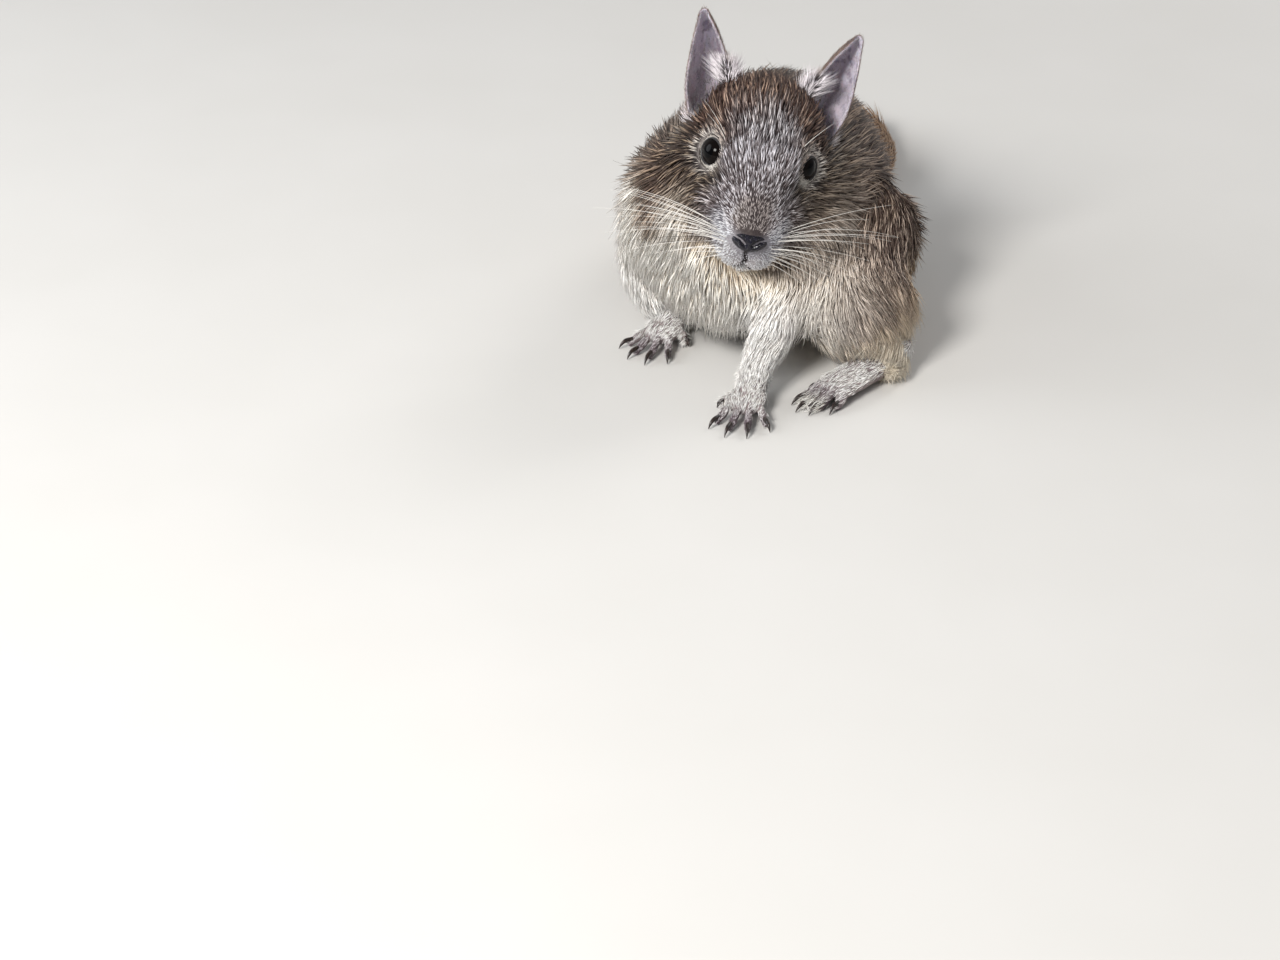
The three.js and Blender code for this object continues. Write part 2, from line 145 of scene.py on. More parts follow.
def nearCurve(points, curve):
    # Distance to a polyline, and the share of its length at the nearest place
    best = np.full(len(points), 1e9)
    share = np.zeros(len(points))
    for i, (a, b) in enumerate(zip(curve[:-1], curve[1:])):
        t = np.clip((points - a) @ (b - a) / ((b - a) @ (b - a)), 0, 1)
        d = np.linalg.norm(points - a - t[:, None] * (b - a), axis=1)
        share = np.where(d < best, (i + t) / (len(curve) - 1), share)
        best = np.minimum(best, d)
    return best, share


def meshOf(name, points, faces):
    mesh = bpy.data.meshes.new(name)
    mesh.from_pydata((np.asarray(points) * mm).tolist(), [], [tuple(int(i) for i in f) for f in faces])
    mesh.update()
    mesh.shade_smooth()
    return mesh


def pieceOf(name, mesh):
    piece = bpy.data.objects.new(name, mesh)
    bpy.context.scene.collection.objects.link(piece)
    return piece


def pointsOf(mesh):
    flat = np.empty(len(mesh.vertices) * 3)
    mesh.vertices.foreach_get("co", flat)
    return flat.reshape(-1, 3) / mm


def normalsOf(mesh):
    flat = np.empty(len(mesh.vertices) * 3)
    mesh.vertex_normals.foreach_get("vector", flat)
    return flat.reshape(-1, 3)


def setPoints(mesh, points):
    mesh.vertices.foreach_set("co", (points * mm).ravel())
    mesh.update()


def setMark(mesh, name, values):
    kind = "FLOAT" if values.ndim == 1 else "FLOAT_VECTOR"
    mark = mesh.attributes.new(name, kind, "POINT")
    mark.data.foreach_set("value" if kind == "FLOAT" else "vector", values.astype(np.float32).ravel())


def loft(points, widths, heights=None, up=(0, 0, 1), steps=12, sides=10):
    # A closed body along a curve; widths run across it and heights towards `up`
    heights = widths if heights is None else heights
    centre = along(points, steps + 1)
    tangent = unit(np.gradient(centre, axis=0))
    side = unit(np.cross(tangent, np.asarray(up, float)))
    lift = np.cross(side, tangent)
    angle = np.linspace(0, 2 * math.pi, sides, endpoint=False)
    w, h = spread(widths, steps + 1), spread(heights, steps + 1)
    rings = (centre[:, None] + side[:, None] * (np.cos(angle)[None, :, None] * w[:, None, None])
             + lift[:, None] * (np.sin(angle)[None, :, None] * h[:, None, None]))
    verts = np.vstack([rings.reshape(-1, 3), centre[:1], centre[-1:]])
    faces = []
    for i in range(steps):
        for j in range(sides):
            a, b = i * sides + j, i * sides + (j + 1) % sides
            faces.append((a, b, b + sides, a + sides))
    last = len(verts) - 2
    for j in range(sides):
        faces.append((last, (j + 1) % sides, j))
        faces.append((last + 1, steps * sides + j, steps * sides + (j + 1) % sides))
    return verts, faces


def ball(centre, size, rings=20, sides=28, turn=None):
    verts, faces = [], []
    for i in range(rings + 1):
        polar = math.pi * i / rings
        wide = math.sin(polar)
        for j in range(sides):
            angle = 2 * math.pi * j / sides
            verts.append((wide * math.cos(angle), wide * math.sin(angle), math.cos(polar)))
    verts = np.array(verts) * np.asarray(size, float)
    if turn is not None:
        verts = verts @ np.asarray(turn).T
    for i in range(rings):
        for j in range(sides):
            a, b = i * sides + j, i * sides + (j + 1) % sides
            faces.append((a, a + sides, b + sides, b))
    return verts + np.asarray(centre, float), faces


def joined(forms):
    verts, faces, start = [], [], 0
    for v, f in forms:
        verts.append(v)
        faces += [tuple(i + start for i in one) for one in f]
        start += len(v)
    return np.vstack(verts), faces


def reworked(mesh, work):
    bm = bmesh.new()
    bm.from_mesh(mesh)
    work(bm)
    bm.to_mesh(mesh)
    bm.free()
    mesh.shade_smooth()
    return mesh


def facesOut(bm):
    bmesh.ops.recalc_face_normals(bm, faces=bm.faces)


def tidied(mesh):
    # Doubled points merged, and every face turned outwards
    def work(bm):
        bmesh.ops.remove_doubles(bm, verts=bm.verts, dist=1e-6)
        bmesh.ops.dissolve_degenerate(bm, edges=bm.edges, dist=1e-7)
        facesOut(bm)
    return reworked(mesh, work)


def madeBy(maker, name):
    # The mesh that an object's modifier makes; the object itself goes
    made = bpy.data.meshes.new_from_object(maker.evaluated_get(bpy.context.evaluated_depsgraph_get()))
    made.name = name
    bpy.data.objects.remove(maker)
    return made


def remeshed(name, meshes, voxel):
    # One closed skin round several closed meshes
    bm = bmesh.new()
    for mesh in meshes:
        bm.from_mesh(mesh)
    whole = bpy.data.meshes.new(name)
    bm.to_mesh(whole)
    bm.free()
    maker = pieceOf(name + "Maker", whole)
    remesh = maker.modifiers.new("voxels", "REMESH")
    remesh.mode = "VOXEL"
    remesh.voxel_size = voxel * mm
    made = madeBy(maker, name)
    made.shade_smooth()
    return made


def edgesOf(mesh):
    flat = np.empty(len(mesh.edges) * 2, np.int64)
    mesh.edges.foreach_get("vertices", flat)
    return flat.reshape(-1, 2)


def relaxed(values, edges, rounds, strength=0.5):
    # Repeated averaging with the neighbours; strength may differ from vertex to vertex
    a, b = edges.T
    size = len(values)
    count = np.maximum(np.bincount(a, minlength=size) + np.bincount(b, minlength=size), 1)[:, None]
    share = np.asarray(strength) if np.ndim(strength) == 0 else np.asarray(strength)[:, None]
    for _ in range(rounds):
        total = np.stack([np.bincount(a, values[b, i], size) + np.bincount(b, values[a, i], size)
                          for i in range(values.shape[1])], 1)
        values = values + (total / count - values) * share
    return values


# Node trees, written as formulas

class Signal:
    def __init__(self, tree, socket):
        self.tree, self.socket = tree, socket

    def calc(self, operation, *others):
        return self.tree.add("ShaderNodeMath", {"operation": operation}, dict(enumerate((self, *others))))

    def __add__(self, other):
        return self.calc("ADD", other)

    def __sub__(self, other):
        return self.calc("SUBTRACT", other)

    def __mul__(self, other):
        return self.calc("MULTIPLY", other)

    def __truediv__(self, other):
        return self.calc("DIVIDE", other)

    def __rsub__(self, other):
        return self * -1 + other

    __radd__, __rmul__ = __add__, __mul__

    def ramp(self, low, high):
        return self.tree.add("ShaderNodeMapRange", {"interpolation_type": "SMOOTHSTEP"},
                             {"Value": self, "From Min": low, "From Max": high})

    def vector(self, operation, *others, out=0):
        return self.tree.add("ShaderNodeVectorMath", {"operation": operation},
                             dict(enumerate((self, *others))), out)

    def scaled(self, share):
        return self.tree.add("ShaderNodeVectorMath", {"operation": "SCALE"}, {0: self, "Scale": share})

    def sibling(self, out):
        # Another output of the same node
        return Signal(self.tree, self.socket.node.outputs[out])


class Tree:
    def __init__(self, nodeTree):
        self.nodeTree = nodeTree

    def add(self, kind, settings=None, sockets=None, out=0):
        node = self.nodeTree.nodes.new(kind)
        for key, value in (settings or {}).items():
            setattr(node, key, value)
        for key, value in (sockets or {}).items():
            if isinstance(value, Signal):
                self.nodeTree.links.new(value.socket, node.inputs[key])
            else:
                node.inputs[key].default_value = value
        return Signal(self, node.outputs[out]) if len(node.outputs) else node

    def mix(self, share, a, b):
        return self.add("ShaderNodeMix", {"data_type": "RGBA"}, {0: share, 6: a, 7: b}, 2)


def colour(*rgb):
    return (*[float(v) for v in linear(*rgb)], 1.0)


class Finish(Tree):
    # A material whose varying sockets are given as formulas and whose fixed ones are numbers
    sockets = {"base": "Base Color", "roughness": "Roughness", "normal": "Normal", "ior": "IOR",
               "specular": "Specular IOR Level", "subsurface": "Subsurface Weight",
               "subsurfaceScale": "Subsurface Scale"}

    def __init__(self, name):
        self.material = bpy.data.materials.new(name)
        self.material.use_nodes = True
        super().__init__(self.material.node_tree)
        self.nodeTree.nodes.clear()
        self.place = self.add("ShaderNodeTexCoord", out="Object")

    def mark(self, name, out="Fac"):
        return self.add("ShaderNodeAttribute", {"attribute_name": name}, out=out)

    def noise(self, size, detail=3.0):
        return self.add("ShaderNodeTexNoise", {}, {"Vector": self.place, "Scale": 1 / (size * mm),
                                                   "Detail": detail, "Roughness": 0.55})

    def cells(self, size):
        return self.add("ShaderNodeTexVoronoi", {"feature": "DISTANCE_TO_EDGE"},
                        {"Vector": self.place, "Scale": 1 / (size * mm)})

    def bump(self, height, depth):
        return self.add("ShaderNodeBump", {}, {"Height": height, "Distance": depth * mm, "Strength": 1.0})

    def done(self, **given):
        surface = self.add("ShaderNodeBsdfPrincipled", {}, {self.sockets[k]: v for k, v in given.items()})
        self.add("ShaderNodeOutputMaterial", {}, {"Surface": surface})
        return self.material


def nodeGroup(name, inputs):
    # A Geometry Nodes group with named inputs, each given back as a signal
    group = bpy.data.node_groups.new(name, "GeometryNodeTree")
    group.interface.new_socket("Geometry", in_out="OUTPUT", socket_type="NodeSocketGeometry")
    keys = {key: group.interface.new_socket(key, in_out="INPUT", socket_type="NodeSocket" + kind).identifier
            for key, kind in inputs.items()}
    tree = Tree(group)
    given = group.nodes.new("NodeGroupInput")
    return tree, keys, {key: Signal(tree, given.outputs[key]) for key in keys}


def ended(tree, geometry, finish):
    whole = tree.add("GeometryNodeSetMaterial", {}, {"Geometry": geometry, "Material": finish})
    tree.add("NodeGroupOutput", {}, {0: whole})


def grown(name, mesh, group, keys, values):
    # What a node group makes of a mesh
    maker = pieceOf(name + "Maker", mesh)
    grow = maker.modifiers.new("grow", "NODES")
    grow.node_group = group
    for key, value in values.items():
        grow[keys[key]] = value
    return madeBy(maker, name)


# The coat, grown over a skin by Geometry Nodes

def tuftMesh(name, bend):
    # One tapering tuft of unit length along +Z that bends towards -X; three sides, solid
    levels = [(0, 0.75), (0.42, 1.0)]
    verts, faces, share, patch = [], [], [], []
    for height, width in levels:
        for x, y, across in ((0.006, 0, 0.5), (-0.004, -0.5, 0), (-0.004, 0.5, 1)):
            verts.append((x * width * 1.6 - bend * height**2, y * width, height))
            share.append(height)
            patch.append((across, height, 0))
    verts.append((-bend, 0, 1))
    share.append(1.0)
    patch.append((0.5, 1, 0))
    for j in range(3):
        a, b = j, (j + 1) % 3
        faces += [(a, b, b + 3), (a, b + 3, a + 3), (a + 3, b + 3, 6)]
    faces.append((2, 1, 0))
    mesh = bpy.data.meshes.new(name)
    mesh.from_pydata(verts, [], faces)
    mesh.shade_smooth()
    setMark(mesh, "share", np.array(share))
    setMark(mesh, "patch", np.array(patch))
    return mesh


def coatTree():
    tree, keys, value = nodeGroup("coat", {
        "Geometry": "Geometry", "Tuft": "Object", "Density": "Float", "Scatter": "Float", "Uneven": "Float",
        "Patch": "Float", "Seed": "Int", "Finish": "Material"})

    def mark(name, kind="FLOAT"):
        return tree.add("GeometryNodeInputNamedAttribute", {"data_type": kind}, {"Name": name})

    def chance(low, high, shift):
        return tree.add("FunctionNodeRandomValue", {"data_type": "FLOAT"},
                        {2: low, 3: high, 8: value["Seed"] + shift}, 1)

    def keep(geometry, name, kind, what, domain="POINT"):
        return tree.add("GeometryNodeStoreNamedAttribute", {"data_type": kind, "domain": domain},
                        {"Geometry": geometry, "Name": name, "Value": what})

    points = tree.add("GeometryNodeDistributePointsOnFaces", {"distribute_method": "RANDOM"},
                      {"Mesh": value["Geometry"], "Density": value["Density"] * mark("furDensity"),
                       "Seed": value["Seed"]})
    normal = points.sibling("Normal")
    unwrap = tree.add("ShaderNodeSeparateXYZ", {}, {0: mark("furUnwrap", "FLOAT_VECTOR")})
    spin = unwrap.sibling(1).calc("ARCTAN2", unwrap) / (2 * math.pi) + 0.5
    rootUv = tree.add("ShaderNodeCombineXYZ", {}, {0: spin, 1: unwrap.sibling(2)})
    kept = keep(points, "tone", "FLOAT", chance(0, 1, 3))
    kept = keep(kept, "rootUv", "FLOAT_VECTOR", rootUv)
    stray = tree.add("FunctionNodeRandomValue", {"data_type": "FLOAT_VECTOR"},
                     {0: (-1, -1, -1), 1: (1, 1, 1), 8: value["Seed"] + 11}).scaled(value["Scatter"])
    raised = normal.scaled(mark("furLift") * chance(0.75, 1.3, 5))
    lie = mark("furLie", "FLOAT_VECTOR").vector("ADD", stray).vector("NORMALIZE").vector("ADD", raised)
    turn = tree.add("FunctionNodeAxesToRotation", {"primary_axis": "Z", "secondary_axis": "X"},
                    {"Primary Axis": lie.vector("NORMALIZE"), "Secondary Axis": normal})
    length = mark("furLength") * (1 + value["Uneven"] * chance(-1, 0.6, 7))
    width = mark("furWidth") * chance(0.75, 1.2, 9)
    size = tree.add("ShaderNodeCombineXYZ", {}, {0: length, 1: width, 2: length})
    form = tree.add("GeometryNodeObjectInfo", {}, {"Object": value["Tuft"]}, "Geometry")
    tufts = tree.add("GeometryNodeInstanceOnPoints", {},
                     {"Points": kept, "Instance": form, "Rotation": turn, "Scale": size})
    real = tree.add("GeometryNodeRealizeInstances", {}, {"Geometry": tufts})
    spot = mark("patch", "FLOAT_VECTOR").scaled(value["Patch"])
    real = keep(real, "OFBake", "FLOAT2", mark("rootUv", "FLOAT_VECTOR").vector("ADD", spot), "CORNER")
    ended(tree, real, value["Finish"])
    return tree.nodeTree, keys


coatGroup, coatKeys = coatTree()
coatLimit = {"reach": 2.8, "top": 2.4, "floor": 0.03}  # how far past the solids' box a hair may go
mostTufts = 18500  # in one piece of the coat


def growCoat(name, skinMesh, bend, seed, finish, scatter=0.22):
    tuft = bpy.data.objects.new(name + "Tuft", tuftMesh(name + "Tuft", bend))
    made = grown(name, skinMesh, coatGroup, coatKeys, {
        "Tuft": tuft, "Density": 1.0 / mm**2, "Scatter": scatter, "Uneven": 0.3, "Patch": 0.003, "Seed": seed,
        "Finish": finish})
    bpy.data.objects.remove(tuft)
    low, high = np.array(cadBox) / mm + coatLimit["reach"] * np.array([[-1], [1]])
    low[2], high[2] = coatLimit["floor"], cadBox[1][2] / mm + coatLimit["top"]
    setPoints(made, np.clip(pointsOf(made), low, high))
    for extra in ("rootUv", "patch", "furDensity", "furLength", "furWidth", "furLift", "furLie", "furUnwrap"):
        if extra in made.attributes:
            made.attributes.remove(made.attributes[extra])
    print(name, len(made.polygons), "faces")
    return pieceOf(name, made)


def hairMarks(density, length, width, lift, lie, tone, tip, band):
    # What the coat's nodes read at each vertex
    whole = np.ones(len(density))
    return {"furDensity": density, "furLength": length * mm, "furWidth": width * mm * whole,
            "furLift": lift * whole, "furLie": lie, "furColour": tone, "furTip": tip, "furBand": band * whole}


def growInParts(name, mesh, marks, order, middle, axis, **how):
    # Grows the coat in as many pieces as keep each one under the size limit, cut across `order`
    faces = np.array([list(p.vertices) for p in mesh.polygons], dtype=object)
    area = np.empty(len(mesh.polygons))
    mesh.polygons.foreach_get("area", area)
    area /= mm**2
    perFace = np.array([marks["furDensity"][list(f)].mean() for f in faces]) * area
    atFace = np.array([order[list(f)].mean() for f in faces])
    sequence = np.argsort(atFace, kind="stable")
    run = np.cumsum(perFace[sequence])
    parts = max(1, math.ceil(run[-1] / mostTufts))
    across = unit(np.cross(axis, (0.3, 0.2, 0.9)))
    ahead = np.cross(axis, across)
    everyPoint = pointsOf(mesh)
    pieces = []
    for part in range(parts):
        chosen = sequence[(run > run[-1] * part / parts) & (run <= run[-1] * (part + 1) / parts)]
        used = np.unique(np.concatenate([np.array(list(faces[i])) for i in chosen]))
        place = -np.ones(len(everyPoint), int)
        place[used] = np.arange(len(used))
        points = everyPoint[used]
        cut = bpy.data.meshes.new("cut")
        cut.from_pydata((points * mm).tolist(), [], [tuple(place[list(faces[i])].tolist()) for i in chosen])
        cut.shade_smooth()
        rel = points - middle
        rank = np.searchsorted(np.sort(order[used]), order[used]) / len(used)
        for key, values in marks.items():
            setMark(cut, key, values[used])
        setMark(cut, "furUnwrap", np.stack([rel @ across, rel @ ahead, 0.004 + 0.99 * rank], 1))
        pieces.append(growCoat(f"{name}_{part + 1}" if parts > 1 else name, cut, seed=17 + 31 * part, **how))
        bpy.data.meshes.remove(cut)
    return pieces


# The body's lines, as in the solids

trunkLine = np.array([(-2, 38, 33), (-2, 60, 31), (-8, 79, 27.5), (-11, 95, 23)], float)
trunkReach = [27, 31, 30, 24]
tailCurve = along([(-10, 108, 15), (-8, 120, 9), (-4, 138, 5), (-9, 156, 4.6), (-24, 170, 5), (-42, 178, 5.6),
                   (-58, 180, 6.4)], 80)
# Each leg's line from the trunk down, and how thick its flesh is along it
legs = {
    "foreleg_left": ([(17, 36, 26), (19.5, 21, 17), (20, 8, 9), (20.6, -0.5, 4)], [12, 8.4, 5, 4]),
    "foreleg_right": ([(-23, 43, 26), (-25, 37, 17), (-21.5, 31.5, 10), (-15, 25.8, 4)],
                      [13, 10.5, 7.5, 4.2]),
    "hindleg_left": ([(25.5, 62, 22), (35, 40, 16), (41, 38, 9), (45.3, 33.5, 4.5)], [18, 15, 9, 5]),
    "hindleg_right": ([(-27, 76, 24), (-27, 60, 15.5), (-27, 66, 9), (-26, 71.5, 4.5)], [18, 13, 8, 5]),
}
legCurves = {name: along(line, 24) for name, (line, _) in legs.items()}
# The coat's depth and the tufts' length down a leg
legCoat = {"fore": {"depth": [2.6, 1.9, 1.0, 0.6], "length": [9.6, 8, 5.2, 3.8]},
           "hind": {"depth": [2.6, 2.4, 1.8, 1.2], "length": [9, 8.8, 8.4, 7.6]}}
feet = {
    "forefoot_left": {"at": (20.5, 3, 0), "heading": 14, "thumb": -1},
    "forefoot_right": {"at": (-14.4, 28.7, 0), "heading": -2, "thumb": 1},
    "hindfoot_left": {"at": (46, 34.5, 0), "heading": -20, "thumb": -1},
    "hindfoot_right": {"at": (-26, 74, 0), "heading": 6, "thumb": 1},
}
# Each digit's root, splay, reach and claw length
foreDigits = [((-4.2, -4.5), -62, 2.6, 1.4), ((-3.2, -9), -26, 6.8, 3), ((-1.1, -10.2), -8, 8, 3.2),
              ((1.2, -10), 9, 7.6, 3.2), ((3.4, -8.4), 30, 6, 3)]
hindDigits = [((-4.4, -18), -14, 5, 2.6), ((-3, -22.5), -7, 7, 3.6), ((-0.6, -23.5), -1, 7.8, 3.8),
              ((1.8, -23.2), 5, 7.2, 3.6), ((4, -21.2), 13, 5.6, 3.2)]


def lookOf(side):
    out, up = math.radians(eye["out"]), math.radians(eye["up"])
    return np.array([side * math.sin(out) * math.cos(up), -math.cos(out) * math.cos(up), math.sin(up)])


def eyeAt(side):
    x, y, z = eye["centre"]
    return np.array([side * x, y, z])


def squareTo(look):
    # Directions across and up, square to the way an eye looks
    across = unit(np.cross(look, (0, 0, 1)))
    return across, np.cross(across, look)


def toNearestEye(head):
    return np.minimum(*[np.linalg.norm(head - eyeAt(side), axis=1) for side in sideWords])


def downLeg(body, name):
    # Each point's share of the way down a leg
    return nearCurve(body, legCurves[name])[1]


def fromFoot(name, points):
    # From a foot's own frame, heel at the origin and toes towards -Y, to the body's
    turn = np.array(turnAbout(feet[name]["heading"], "Z"))
    return np.asarray(points, float) @ turn.T + np.array(feet[name]["at"])


# One skin over head, neck, trunk, legs and tail

fleshNodes = ["head", "neck", "torso", "foreleg_left", "foreleg_right", "hindleg_left", "hindleg_right",
              "tail_base", "tail_middle"]
# The haunch is the flesh that hangs over the left heel
skinShape = {"voxel": 0.62, "swell": 0.3, "chin": (0, -2.0, -1.6),
             "haunch": [((38.5, 38, 11.5), (11, 13.5, 10.5)), ((41.5, 34, 9), (8.5, 10, 8.5))]}
noseTip = np.array((0, -22, -8))
noseShape = {"at": (0, -20.2, -9.9), "size": (4.6, 3.0, 2.9),
             "bareAt": (0, -20.9, -9.9), "bareSize": (4.8, 3.4, 3.2)}
nostrilLine = [(1.15, -23.1, -9.7), (1.9, -22.9, -8.9), (2.8, -22.3, -8.3), (3.8, -21.1, -8.7)]
lipMiddle = (0, -21.6, -18.9)
lipSide = [(1.5, -21, -19.5), (4.4, -18, -19.1), (6.4, -13.2, -18.8)]
mouthLine = along([(-x, y, z) for x, y, z in lipSide[::-1]] + [lipMiddle] + lipSide, 41)
cleftLine = along([(0, -22.6, -12.4), (0, -22.4, -15.8), lipMiddle], 14)


def swollenCopy(node, by):
    mesh = tidied(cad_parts[node].data.copy())
    setPoints(mesh, pointsOf(mesh) + normalsOf(mesh) * by)
    return mesh


def regions(points):
    # How far each point lies outside the round forms of each part, in millimetres
    body = points - bodyShift
    head = toHead(points)
    far = {}
    d, share = nearCurve(head, np.array([(0, 13, -3), (0, -6, -8), (0, -17, -12)], float))
    far["head"] = d - np.interp(share, [0, 0.5, 1], [18, 12, 6.5])
    d, share = nearCurve(body, trunkLine)
    far["trunk"] = d - np.interp(share, [0, 0.33, 0.66, 1], trunkReach)
    for name, (_, reach) in legs.items():
        d, share = nearCurve(body, legCurves[name])
        far[name] = d - np.interp(share, np.linspace(0, 1, 4), reach)
    d, share = nearCurve(body, tailCurve)
    far["tail"] = d - 5 - 5 * smooth(0.05, 0, share)
    return far


def shares(far, softness=2.5):
    # How much each part has of each point, 1 in all
    names = list(far)
    table = np.stack([far[n] for n in names], 1)
    table = np.exp(-(table - table.min(1, keepdims=True)) / softness)
    table /= table.sum(1, keepdims=True)
    return {n: table[:, i] for i, n in enumerate(names)}


def coatDepth(points, part):
    # How far the skin lies under the coat's tips
    head = toHead(points)
    ax = np.abs(head[:, 0])
    face = (0.35 + 0.5 * smooth(-16, -8, head[:, 1]) + 0.6 * smooth(6, 16, head[:, 1])
            + 0.9 * smooth(12, 20, ax))
    near = toNearestEye(head)
    face = np.where(near < 8, np.minimum(face, 0.15 + 0.5 * smooth(5, 8, near)), face)
    legDepth = 0
    for name in legs:
        t = downLeg(points - bodyShift, name)
        legDepth = legDepth + part[name] * np.interp(t, [0, 0.4, 0.8, 1], legCoat[name[:4]]["depth"])
    return part["head"] * face + part["trunk"] * 2.9 + legDepth + part["tail"] * 1.2


def onSkin(curve, head):
    # The curve's points moved to the nearest places of the skin
    near = head[np.linalg.norm(head - curve.mean(0), axis=1) < 24]
    found = near[np.argmin(np.linalg.norm(near[None] - curve[:, None], axis=2), axis=1)]
    for _ in range(6):
        found = np.vstack([found[:1], (found[:-2] + 2 * found[1:-1] + found[2:]) / 4, found[-1:]])
    return found


def aroundEye(head, side):
    # Distance from the eye's own axis, height above it, distance towards the nose, and distance ahead
    rel = head - eyeAt(side)
    look = lookOf(side)
    ahead = rel @ look
    flat = rel - ahead[:, None] * look
    inwards = np.array((-side, -0.6, 0))
    nose = unit(inwards - look * (inwards @ look))
    return np.linalg.norm(flat, axis=1), flat @ squareTo(look)[1], flat @ nose, ahead


def headFeatures(points, normals):
    # Lips, mouth line and the cleft below the nose, pressed into the skin
    head = toHead(points)
    mouth = onSkin(mouthLine, head)
    toMouth, at = nearCurve(head, mouth)
    toCleft, _ = nearCurve(head, onSkin(cleftLine, head))
    ends = np.sin(np.pi * np.clip(at, 0.02, 0.98)) ** 0.5
    push = -1.1 * ends * bell(toMouth, 0.55) - 0.55 * bell(toCleft, 0.5)
    push -= 1.6 * bell(np.linalg.norm(head - mouth[len(mouth) // 2], axis=1), 1.15)
    push += 0.4 * ends * bell(toMouth - 1.4, 0.8) * (head[:, 1] < -9)
    return points + ((normals @ headTurn) * push[:, None]) @ headTurn.T


def ankleForm(name):
    # The flesh that joins a leg to its foot
    fore = name.startswith("fore")
    inFoot = ((0, 0.5, 5.2), (0, -4.5, 3.8)) if fore else ((0, 0.5, 4.6), (0, -7, 4.0))
    line = [legCurves[name.replace("foot", "leg")][17], *[fromFoot(name, p) for p in inFoot]]
    verts, faces = loft(np.array(line) + bodyShift, [4.9, 4.5, 3.6] if fore else [5.6, 5.0, 4.2], sides=16)
    verts[:, 2] = np.maximum(verts[:, 2], 0.4)
    return verts, faces


def finerFace(mesh, part):
    # Smaller faces round the nose, mouth and eyes
    head = toHead(pointsOf(mesh))
    fine = (part["head"] > 0.5) & ((head[:, 1] < -8) | (toNearestEye(head) < 7.5))

    def work(bm):
        chosen = [e for e in bm.edges if fine[e.verts[0].index] and fine[e.verts[1].index]]
        bmesh.ops.subdivide_edges(bm, edges=chosen, cuts=1, use_grid_fill=True)
        bmesh.ops.triangulate(bm, faces=[f for f in bm.faces if len(f.verts) > 4])
    reworked(mesh, work)


def makeSkin():
    meshes = [swollenCopy(node, skinShape["swell"]) for node in fleshNodes]
    forms = [loft(tailCurve[46:74] + bodyShift, [4.4, 3.9, 3.2, 2.6, 1.2], steps=30, sides=16)]
    forms += [ball(np.array(middle) + bodyShift, size) for middle, size in skinShape["haunch"]]
    forms += [ankleForm(name) for name in feet]
    meshes += [tidied(meshOf("fleshForm", *form)) for form in forms]
    mesh = remeshed("skin", meshes, skinShape["voxel"])
    edges = edgesOf(mesh)
    points = pointsOf(mesh)
    head = toHead(points)
    part = shares(regions(points))
    calm = 0.5 * (1 - 0.85 * part["head"] * smooth(12, 2, head[:, 1]) * smooth(13, 7, toNearestEye(head)))
    points = relaxed(points, edges, 26, calm)
    slim = sum(part[name] * smooth(0.35, 0.6, downLeg(points - bodyShift, name)) for name in legs)
    loose = 0.5 * smooth(0.7, 0.3, part["head"]) * (1 - 0.8 * np.maximum(slim, part["tail"]))
    points = relaxed(points, edges, 60, loose)
    setPoints(mesh, points)
    part = shares(regions(points))
    depth = coatDepth(points, part) + skinShape["swell"]
    points = points - normalsOf(mesh) * relaxed(depth[:, None], edges, 12)
    points[:, 2] = np.maximum(points[:, 2], 0.05)
    setPoints(mesh, points)
    finerFace(mesh, part)
    points = pointsOf(mesh)
    part = shares(regions(points))
    inFace = (part["head"] > 0.5) & (toHead(points)[:, 1] < -6)
    points = relaxed(points, edgesOf(mesh), 4, 0.5 * inFace)
    head = toHead(points)
    jaw = part["head"] * smooth(-12, -18.5, head[:, 2]) * smooth(-7, -14, head[:, 1])
    points = fromHead(head + jaw[:, None] * np.array(skinShape["chin"]))
    setPoints(mesh, points)
    setPoints(mesh, headFeatures(points, normalsOf(mesh)))
    return mesh


# Markings, shared by the skin and the coat

def pair(middle, tip):
    return np.concatenate([linear(*middle), linear(*tip)])


# Each place's colour halfway up the hair, and at its pale tip
shade = {
    "crown": pair((82, 56, 45), (182, 152, 132)), "forehead": pair((97, 90, 93), (250, 249, 255)),
    "bridge": pair((122, 112, 113), (240, 238, 246)), "pad": pair((82, 73, 75), (196, 186, 184)),
    "muzzle": pair((188, 191, 202), (242, 244, 250)),
    "cheek": pair((42, 36, 30), (134, 120, 98)), "ring": pair((244, 241, 234), (255, 253, 248)),
    "throat": pair((206, 184, 152), (250, 243, 228)), "side": pair((206, 196, 184), (254, 252, 247)),
    "back": pair((70, 49, 41), (170, 144, 122)), "flank": pair((82, 59, 50), (208, 188, 172)),
    "chest": pair((222, 208, 186), (252, 249, 243)), "thigh": pair((168, 128, 92), (232, 210, 178)),
    "leg": pair((232, 227, 222), (252, 251, 249)), "shank": pair((198, 174, 146), (244, 234, 216)),
    "tail": pair((88, 62, 48), (176, 146, 118)), "brush": pair((18, 15, 15), (32, 27, 26)),
    "toe": pair((138, 124, 132), (206, 198, 202)), "bristle": pair((190, 180, 172), (246, 244, 238)),
}
# The first is the lids' own dark rim skin; the second is painted shade for the mouth slit and the cleft below
# the nose
lidEdge, mouthShade = (20, 16, 17), (34, 24, 28)
earSpot = (16.5, 13.2, -8)  # the pale place below each ear


def blend(base, share, tone):
    return base + (tone - base) * np.clip(share, 0, 1)[:, None]


def layered(first, layers):
    # One shade everywhere, with others blended over it in turn
    tone = shade[first]
    for share, name in layers:
        tone = blend(tone, share, shade[name])
    return tone


